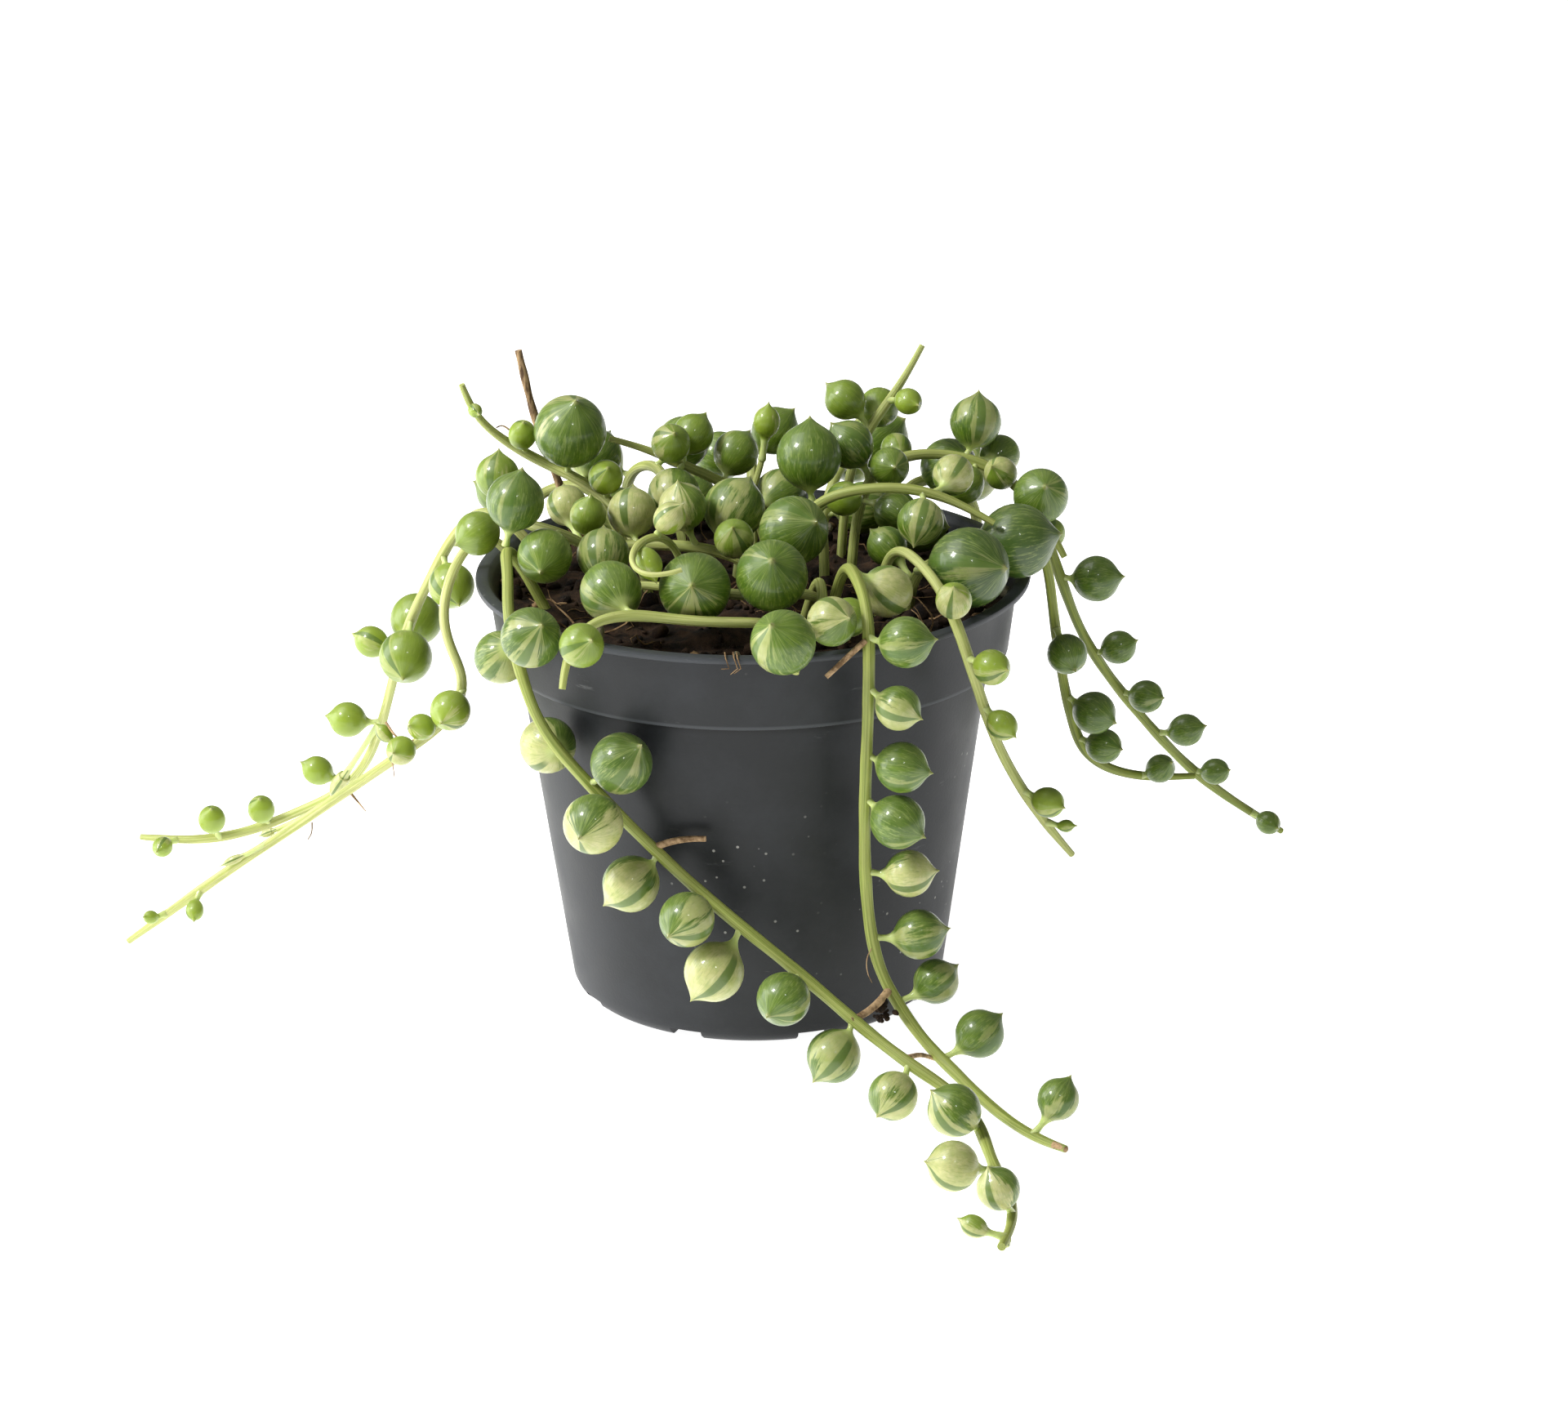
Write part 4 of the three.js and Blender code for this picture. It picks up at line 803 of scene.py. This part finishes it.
peat_finish = crumbly("peat_brown", (17, 12, 8), (64, 46, 31), 420)
coir_finish = crumbly("coir_tan", (96, 72, 46), (168, 138, 100), 500)
grit_finish = crumbly("grit_pale", (120, 112, 84), (205, 198, 168), 600)

peat.data.materials.append(peat_finish)
crumb.data.materials.append(grit_finish)
for number, one in enumerate(crumbs):
    finish = grit_finish if number % 23 == 0 else coir_finish if number % 9 == 0 else peat_finish
    one.data.materials.append(finish)
for one in fibres:
    one.data.materials.append(coir_finish)
GRIT_AT, GRIT_SIZE = (-19.5, -24, 54.6), (1.7, 1.5, 1.9)  # one pale lump of grit at the front left
grit = strewn(crumb, 1, lambda _: Matrix.Translation(Vector(GRIT_AT) * MM) @ Matrix.Diagonal((*GRIT_SIZE, 1)))
bpy.data.objects.remove(crumb)
peat = joined([peat, *crumbs, *fibres, *grit])
select_only(peat)
bpy.ops.object.shade_smooth_by_angle(angle=math.radians(50))
settle_in(peat, "peat_fill", "soil")

# %% [markdown]
# ## One pearl
# A pearl is a leaf that has rolled itself into a ball: a short pale stalk that widens into the base, a
# round body and a thorn-like tip. It is modelled once on the lathe from eight rings. Each copy then has its
# rings moved to that pearl's own stalk length and radius, and a live subdivision rounds it off. Subdivision
# pulls a cage inwards, so the rings are pushed out first by solving for a cage whose smooth surface meets
# them.

# %% Master pearl
PEARL_SIDES, PEARL_RINGS = 8, 8


def share_left(sides):
    """How much of its radius a ring of so many sides keeps when a subdivision pulls it in."""
    return (4 + 2 * math.cos(2 * math.pi / sides)) / 6


PEARL_PROFILE = [
    (0, 0), (0.6, 0), (0.45, 1), (0.5, 2), (0.8, 3), (1, 4), (0.8, 5), (0.3, 6), (0.1, 7), (0, 7),
]
master = turned("pearl", PEARL_PROFILE, PEARL_SIDES)
heights = np.array([round(v.co.z / MM) for v in master.data.vertices])
on_axis = np.hypot(*np.array([v.co[:2] for v in master.data.vertices]).T) < 1e-6
PEARL_RING = np.where(on_axis, heights + 0.5, heights)
PEARL_ANGLE = np.array([math.atan2(v.co.y, v.co.x) for v in master.data.vertices])
# A subdivision takes each ring as 4 parts of itself and 1 part of each of the two beside it.
RING_PULL = np.eye(PEARL_RINGS) * 4 / 6 + np.eye(PEARL_RINGS, k=1) / 6 + np.eye(PEARL_RINGS, k=-1) / 6
RING_PULL[0, 0] = RING_PULL[-1, -1] = 5 / 6
print("one pearl has", len(master.data.polygons), "faces")


def add_attribute(mesh, name, values):
    attribute = mesh.attributes.new(name, "FLOAT_VECTOR", "POINT")
    attribute.data.foreach_set("vector", np.asarray(values, float).ravel())


def pearl_copy(anchor, at, radius, stem_radius, along, window, tone, long=1.0):
    """A pearl whose stalk starts at anchor on the stem and whose middle is at `at`, all in mm."""
    axis = unit(at - anchor)
    middle = np.linalg.norm(at - anchor)
    stalk = max(0.3, middle - radius * long - stem_radius)
    up = radius * long
    wanted = np.array([  # radius and height of each ring, from the stalk's foot to the thorn
        (0.62, 0.3 * stem_radius), (0.4, stem_radius + 0.4 * stalk),
        (0.3 * radius + 0.16, middle - 0.98 * up), (0.76 * radius, middle - 0.66 * up),
        (radius, middle - 0.02 * up), (0.78 * radius, middle + 0.62 * up),
        (0.36 * radius, middle + 0.94 * up), (0.06 * radius + 0.06, middle + 1.1 * up + 0.12),
    ])
    rings = np.linalg.solve(RING_PULL, wanted)
    rings[:, 0] = np.maximum(rings[:, 0], 0.02) / share_left(PEARL_SIDES)
    whole = PEARL_RING.astype(int)
    ring_radius = np.where(PEARL_RING == whole, rings[whole, 0], 0)
    height = rings[whole, 1]
    height[PEARL_RING == PEARL_RINGS - 0.5] = middle + 1.16 * up + 0.55  # the thorn's point
    cos, sin = np.cos(PEARL_ANGLE), np.sin(PEARL_ANGLE)
    face = unit(window - axis * (window @ axis))
    aside = np.cross(axis, face)
    swing = np.where(whole == 0, -0.9, np.where(whole == 1, -0.45, 0))  # the stalk leaves the stem lower down
    spots = (anchor + axis * height[:, None] + face * (ring_radius * cos)[:, None]
             + aside * (ring_radius * sin)[:, None] + along * swing[:, None])
    copy = master.copy()
    copy.data = master.data.copy()
    bpy.context.collection.objects.link(copy)
    copy.data.vertices.foreach_set("co", (spots * MM).ravel())
    local = np.stack([ring_radius / radius * cos, ring_radius / radius * sin, (height - middle) / up], axis=1)
    add_attribute(copy.data, "grow", local)
    add_attribute(copy.data, "tone", np.tile(tone, (len(spots), 1)))
    return copy


# %% [markdown]
# ## Skin of a pearl
# This plant is variegated: each pearl is painted in wedges of green and cream that run from stalk to tip,
# with streaky edges, and one narrow green window that lets light in. The pattern must follow each pearl, so
# it reads an attribute, `grow`, that holds the place on the pearl: its direction round the axis and its
# height. Another attribute, `tone`, carries three numbers for each pearl: a seed, how cream it is and how
# young it is, from -1 to 1.

# %% Skin of a pearl
skin, tree, shader = new_finish("pearl_skin", IOR=1.46, Subsurface_Weight=0.22, Subsurface_Scale=0.0014,
                                Subsurface_Radius=(0.7, 1.0, 0.15), Sheen_Weight=0.04, Sheen_Roughness=0.3,
                                Coat_Weight=0.36, Coat_Roughness=0.09)
grow = read(tree, "Attribute", "Vector", attribute_name="grow")
x, y, z = split(tree, grow)
seed, creamy, young = split(tree, read(tree, "Attribute", "Vector", attribute_name="tone"))
shift = times(tree, seed, 60.0)
round_about = add_node(tree, "VectorMath", add_node(tree, "CombineXYZ", x, y, 0.0), operation="NORMALIZE")


def along_pearl(spread, stretch):
    """Where a noise is read: spread apart round the pearl, stretched from stalk to tip."""
    up = add_node(tree, "CombineXYZ", 0.0, 0.0, times(tree, z, stretch))
    return add_node(tree, "VectorMath", stretched(tree, round_about, spread, 0), up)


wedges = noise_at(tree, along_pearl(1, 0.4), 1.3, 1, shift)
streaks = noise_at(tree, along_pearl(7, 1.2), 1.2, 4, shift, 0.65)
fine = noise_at(tree, along_pearl(5.5, 0.8), 3.6, 3, shift, 0.65)
mottle = noise_at(tree, grow, 2.2, 4, shift, 0.6)
angle = do_math(tree, "ABSOLUTE", do_math(tree, "ARCTAN2", y, x))
reach = do_math(tree, "ADD", times(tree, creamy, 3.2),
                do_math(tree, "ADD", add_node(tree, "MapRange", wedges, 0.25, 0.75, -1.7, 1.1),
                        add_node(tree, "MapRange", streaks, 0.25, 0.75, -0.75, 0.75)))
veil = add_node(tree, "MapRange", creamy, 0.1, 0.6, 0.4, 1.0)  # cream is thin on pearls that are mostly green
cream = times(tree, ease(tree, do_math(tree, "SUBTRACT", reach, angle), -0.24, 0.32), veil)
green = mix_colours(tree, ease(tree, streaks, 0.3, 0.72), (66, 96, 14), (102, 128, 34))
green = mix_colours(tree, ease(tree, young, -0.2, -0.9), green, (54, 82, 16))
green = mix_colours(tree, times(tree, ease(tree, fine, 0.5, 0.64), 0.55), green, (146, 162, 86))
green = mix_colours(tree, ease(tree, young, 0, 1), green, (138, 160, 44))
pale = mix_colours(tree, ease(tree, mottle, 0.3, 0.7), (196, 194, 136), (170, 176, 104))
pale = mix_colours(tree, times(tree, ease(tree, fine, 0.46, 0.7), 0.55), pale, (130, 148, 70))
colour = mix_colours(tree, cream, green, pale)
ragged_angle = do_math(tree, "ADD", angle, times(tree, fine, 0.1))
window_mark = times(tree, ease(tree, ragged_angle, 0.25, 0.19), ease(tree, z, -0.95, -0.75))
colour = mix_colours(tree, times(tree, window_mark, 0.85), colour, (72, 104, 20))
# The paler, mottled bloom colour is laid mostly on the upward-facing skin: partly a waxy bloom, partly a
# painted sheen of the light falling from above.
upward = split(tree, read(tree, "NewGeometry", "Normal"))[2]
bloom_and_top_sheen = times(tree, ease(tree, upward, -0.1, 1.0), add_node(tree, "MapRange", mottle, 0.3, 0.7, 0.06, 0.34))
colour = mix_colours(tree, bloom_and_top_sheen, colour, (140, 152, 98))
dirt = ease(tree, noise_at(tree, grow, 9, 2, shift), 0.74, 0.79)
colour = mix_colours(tree, times(tree, dirt, 0.75), colour, (52, 40, 26))
colour = mix_colours(tree, ease(tree, z, -0.85, -1.15), colour, (190, 204, 124))
colour = mix_colours(tree, times(tree, ease(tree, z, 1.08, 1.18), 0.6), colour, (158, 156, 100))
roughness = add_node(tree, "MapRange", mottle, 0.3, 0.7, 0.34, 0.5)
finish_with(tree, shader, fine, 0.00008, 0.35, Base_Color=colour, Roughness=roughness)

# %% [markdown]
# ## Skin of a stem
# A stem is a water pipe with ribs: fine light and dark lines run along it, brown nicks show where it was
# rubbed, and old parts turn corky. `grow` holds the direction round the stem and the distance along it in
# centimetres, and `tone` holds a seed, how pale the stem is and how corky it is. What has dried up is brown
# and matt all over.

# %% Skin of a stem
stem_skin, tree, shader = new_finish("stem_skin", IOR=1.42, Subsurface_Weight=0.15, Subsurface_Scale=0.0008,
                                     Subsurface_Radius=(0.8, 1.0, 0.3), Roughness=0.5)
grow = read(tree, "Attribute", "Vector", attribute_name="grow")
seed, paleness, corky = split(tree, read(tree, "Attribute", "Vector", attribute_name="tone"))
shift = times(tree, seed, 60.0)
ribs = noise_at(tree, stretched(tree, grow, 4, 0.5), 1.2, 3, shift)
blotches = noise_at(tree, stretched(tree, grow, 1.2, 1.6), 1.0, 4, shift, 0.6)
nicks = noise_at(tree, stretched(tree, grow, 2.2, 3.5), 1.6, 3, shift, 0.7)
olive = mix_colours(tree, ease(tree, ribs, 0.35, 0.65), (100, 118, 36), (146, 160, 64))
cream = mix_colours(tree, ease(tree, ribs, 0.35, 0.65), (176, 186, 98), (216, 218, 152))
colour = mix_colours(tree, paleness, olive, cream)
colour = mix_colours(tree, times(tree, ease(tree, blotches, 0.5, 0.7), 0.5), colour, (138, 158, 76))
nick_mark = times(tree, ease(tree, nicks, 0.7, 0.76), 0.9)
colour = mix_colours(tree, nick_mark, colour, (58, 38, 22))
cork_mark = times(tree, corky, ease(tree, blotches, 0.35, 0.6))
colour = mix_colours(tree, cork_mark, colour, (140, 112, 78))
finish_with(tree, shader, ribs, 0.0002, 0.5, Base_Color=colour)


def dried(name, dark, light, scale, squeeze, depth, strength):
    """A matt brown finish with fine grain, drawn out upwards where squeeze is under 1."""
    finish, tree, shader = new_finish(name, Roughness=0.85)
    place = add_node(tree, "Mapping", read(tree, "TexCoord", "Object"), sockets={"Scale": (1, 1, squeeze)})
    lines = noise_at(tree, place, scale, 4, 2.0, 0.65)
    colour = mix_colours(tree, ease(tree, lines, 0.36, 0.64), dark, light)
    finish_with(tree, shader, lines, depth, strength, Base_Color=colour)
    return finish


bark = dried("dry_bark", (82, 58, 36), (178, 148, 108), 1800, 0.25, 0.0003, 0.8)
stub_brown = dried("stub_brown", (112, 86, 56), (196, 164, 124), 900, 1, 0.0002, 0.6)
print("skins ready")

# %% [markdown]
# ## Stubs, roots and late leaves
# A plant looks grown when its accidents are there too: broken side shoots that dried to brown stubs, air
# roots with a lump of peat, hair-fine dead rootlets, and slim pale leaves that never filled out. Each is a
# short thin tube or one more pearl, drawn out long, and becomes part of the stem that carries it.

# %% Stubs, roots and late leaves
STUBS = [  # stem, radius at both ends in mm, and points
    ("strand_front_left", 0.55, 0.42,
     [(-12.5, -28, 28.4), (-10.2, -28.2, 29.3), (-8, -28.6, 29.7), (-6.2, -29, 29.8)]),
    ("strand_front", 0.45, 0.36, [(13.2, -36.4, 57.6), (11.3, -37.2, 56.1), (8.5, -37.8, 53.6)]),
    ("strand_front_left", 0.42, 0.3, [(18, -42.6, 6.4), (19.7, -39, 5.2), (21.4, -36, 3.2)]),
    ("strand_front", 0.5, 0.62, [(11.2, -38.6, 9.6), (13, -37, 9.8), (14.6, -35.3, 10.4), (15.9, -33, 11)]),
    ("strand_left", 0.13, 0.07, [(-46.8, 1, 30.5), (-46.4, 0, 28.9), (-46.3, -0.2, 27.6)]),
    ("strand_left", 0.22, 0.08, [(-52.2, 3, 24.2), (-51.1, 2, 23.2), (-50.3, 1.8, 22.2)]),
    ("strand_left", 0.13, 0.07, [(-57.7, 5.5, 19.4), (-57.7, 5, 18.1), (-58.3, 5, 17.2)]),
    ("strand_left", 0.2, 0.12,
     [(-47.2, 1.2, 34.6), (-45.8, -0.6, 33.1), (-44.3, -1, 32.6), (-43.6, -1, 32.9)]),
    ("strand_front", 0.09, 0.05,
     [(13.9, -32.7, 16.6), (13.2, -33, 15.4), (13.3, -33.4, 13.6), (13.9, -33.6, 12.4)]),
    ("strand_front", 0.52, 0.4, [(34.6, -57.9, 1.7), (35.3, -58.5, 1.7), (36.1, -59.2, 1.6)]),
    ("crown_left_shoot", 0.16, 0.1, [(-30.6, 10, 70.6), (-31.6, 10, 71.4), (-32.4, 10, 71)]),
]
LATE_SEED, LATE_CREAM, LATE_WINDOW = 0.4, 0.75, np.array([0.2, -1, 0.5])
LATE_LEAVES = [  # stem, bead, middle, radius, length over width, and how young
    ("strand_left_long", 41, (-57.2, 39.6, 12), 1.1, 2.6, 0.9),
    ("strand_front_left", 115, (27.6, -82.6, 1.1), 0.5, 1.6, 0.8),
    ("strand_left", 45, (-63.6, 6.6, 17.6), 0.55, 2.2, 1),
    ("strand_left", 50, (-68.2, 5.6, 14.2), 0.6, 2.4, 1),
]
STUB_STEP = 0.25  # mm
CLUMP = ("strand_front", (15, -34.4, 8.6), (1.5, 1.1, 1.9))  # its stem, middle and size in mm
CLUMP_CRUMBS = 26


def extras_of(stem):
    """The stubs, late leaves and lump of peat that belong to a stem."""
    pieces = []
    for owner, radius, end_radius, points in STUBS:
        if owner == stem["name"]:
            pieces.append(thin_strand(bent(points, STUB_STEP), radius, 6, end_radius))
            pieces[-1].data.materials.clear()
            pieces[-1].data.materials.append(stub_brown)
    for owner, bead, at, radius, long, young in LATE_LEAVES:
        if owner == stem["name"]:
            bead = min(bead, len(stem["beads"]) - 2)
            pieces.append(pearl_copy(stem["beads"][bead], np.array(at), radius, stem["width"] / 2,
                                     heading(stem["beads"], bead), LATE_WINDOW,
                                     (LATE_SEED, LATE_CREAM, young), long))
    if stem["name"] == CLUMP[0]:
        for _ in range(CLUMP_CRUMBS):
            way = RNG.normal(size=3) * 0.42
            size = 0.25 + 0.45 * RNG.uniform()
            shape = Matrix.Diagonal((size, size * 0.8, size * 0.7, 1))
            at = Vector([c + w * m for c, w, m in zip(CLUMP[1], way, CLUMP[2])])
            pieces += strewn(lump, 1, lambda _: Matrix.Translation(at * MM) @ random_turn() @ shape)
    return pieces


select_only()
bpy.ops.mesh.primitive_ico_sphere_add(subdivisions=1, radius=MM)
lump = bpy.context.object
lump.data.materials.append(peat_finish)
print(len(STUBS), "stubs and roots,", len(LATE_LEAVES), "late leaves")

# %% [markdown]
# ## Growing the stems
# Each stem is a path with a round bevel that swells a little where a pearl grows and thins towards its tip.
# It is made a mesh and joined with its pearls into one piece, which stands for the plain stem of the same
# name. One live subdivision then rounds the whole piece.

# %% Growing the stems
TUBE_SIDES = 6
PEARL_RNG = np.random.default_rng(7)
WINDOWS_FRONT = np.array([-0.1, -1, -0.65])
WINDOW_RISE, WINDOW_CHANCE, CREAM_CHANCE = 25.0, 0.7, 0.06
TIP_SHARE, FULL_SHARE, TAPER_LENGTH = 0.62, 0.96, 40  # of the stem's width, and mm
AT_PEARL, BETWEEN_PEARLS = 1.08, 0.96
CORKY = 0.15


def stem_tube(stem):
    """The stem's tube, with `grow` and `tone` for its skin."""
    beads = stem["beads"]
    keep = sorted({*range(0, len(beads), 2), len(beads) - 1})
    from_tip = (len(beads) - 1 - np.array(keep)) * BEAD_STEP
    radii = stem["width"] / 2 * np.clip(TIP_SHARE + from_tip / TAPER_LENGTH, TIP_SHARE, FULL_SHARE)
    swell = [min([abs(k - p["bead"]) for p in stem["pearls"]] or [9]) for k in keep]
    radii = radii * np.where(np.array(swell) < 2, AT_PEARL, BETWEEN_PEARLS)
    tube = thin_strand(beads[keep], radii / share_left(TUBE_SIDES), TUBE_SIDES)
    count = len(tube.data.vertices)
    ring, turn = np.divmod(np.arange(count), TUBE_SIDES)
    turn = turn * 2 * math.pi / TUBE_SIDES
    along = np.minimum(ring, len(keep) - 1) * 2 * BEAD_STEP / 10
    add_attribute(tube.data, "grow", np.stack([np.cos(turn), np.sin(turn), along], axis=1))
    add_attribute(tube.data, "tone", np.tile((PEARL_RNG.uniform(), stem["pale"], CORKY), (count, 1)))
    tube.data.materials.clear()
    tube.data.materials.append(stem_skin)
    return tube


def how_young(stem, radius):
    """From -1 for a big pearl on a dark stem to 1 for a small one on a pale stem."""
    return np.clip(0.85 + 1.6 * stem["pale"] - radius / 2.2, -1, 1)


def how_long(radius):
    """Length over width: 1 for most pearls, and up to 1.3 for the smallest."""
    return 1 + 0.3 * np.clip((2.6 - radius) / 1.6, 0, 1)


master.data.materials.append(skin)
for one in STEMS:
    if one["name"] == "dry_stalk":
        continue
    beads, parts = one["beads"], [stem_tube(one)]
    for number, pearl in enumerate(one["pearls"]):
        bead, radius = pearl["bead"], pearl["radius"]
        outward = unit(np.array([pearl["at"][0], pearl["at"][1], WINDOW_RISE]))
        window = unit(outward + PEARL_RNG.normal(size=3) * WINDOW_CHANCE)
        if one["name"].startswith("strand_front"):  # these hang with their windows to the front
            window = unit(window * 0.5 + WINDOWS_FRONT)
        share = one["cream"] if np.isscalar(one["cream"]) else one["cream"][number]
        tone = (PEARL_RNG.uniform(), np.clip(share + PEARL_RNG.normal() * CREAM_CHANCE, 0, 1),
                how_young(one, radius))
        parts.append(pearl_copy(beads[bead], pearl["at"], radius, one["width"] / 2, heading(beads, bead),
                                window, tone, how_long(radius)))
    piece = joined(parts + extras_of(one))
    rounded_off()
    settle_in(piece, one["name"] + "_grown", one["name"])
bpy.data.objects.remove(master)
bpy.data.objects.remove(lump)

# %% [markdown]
# ## Dry stalk
# One old flower stalk has dried up and stands stiff and brown at the left. It is thin, a little knotted and
# bends once, so a path with uneven thickness is enough.

# %% Dry stalk
stalk = next(one for one in STEMS if one["name"] == "dry_stalk")
knots = stalk["width"] / 2 * (1 + 0.18 * np.sin(np.arange(len(stalk["beads"])) * 1.9))
piece = thin_strand(stalk["beads"], knots / share_left(TUBE_SIDES), TUBE_SIDES)
piece.data.materials.append(bark)
rounded_off()
settle_in(piece, "dry_stalk_bark", "dry_stalk")
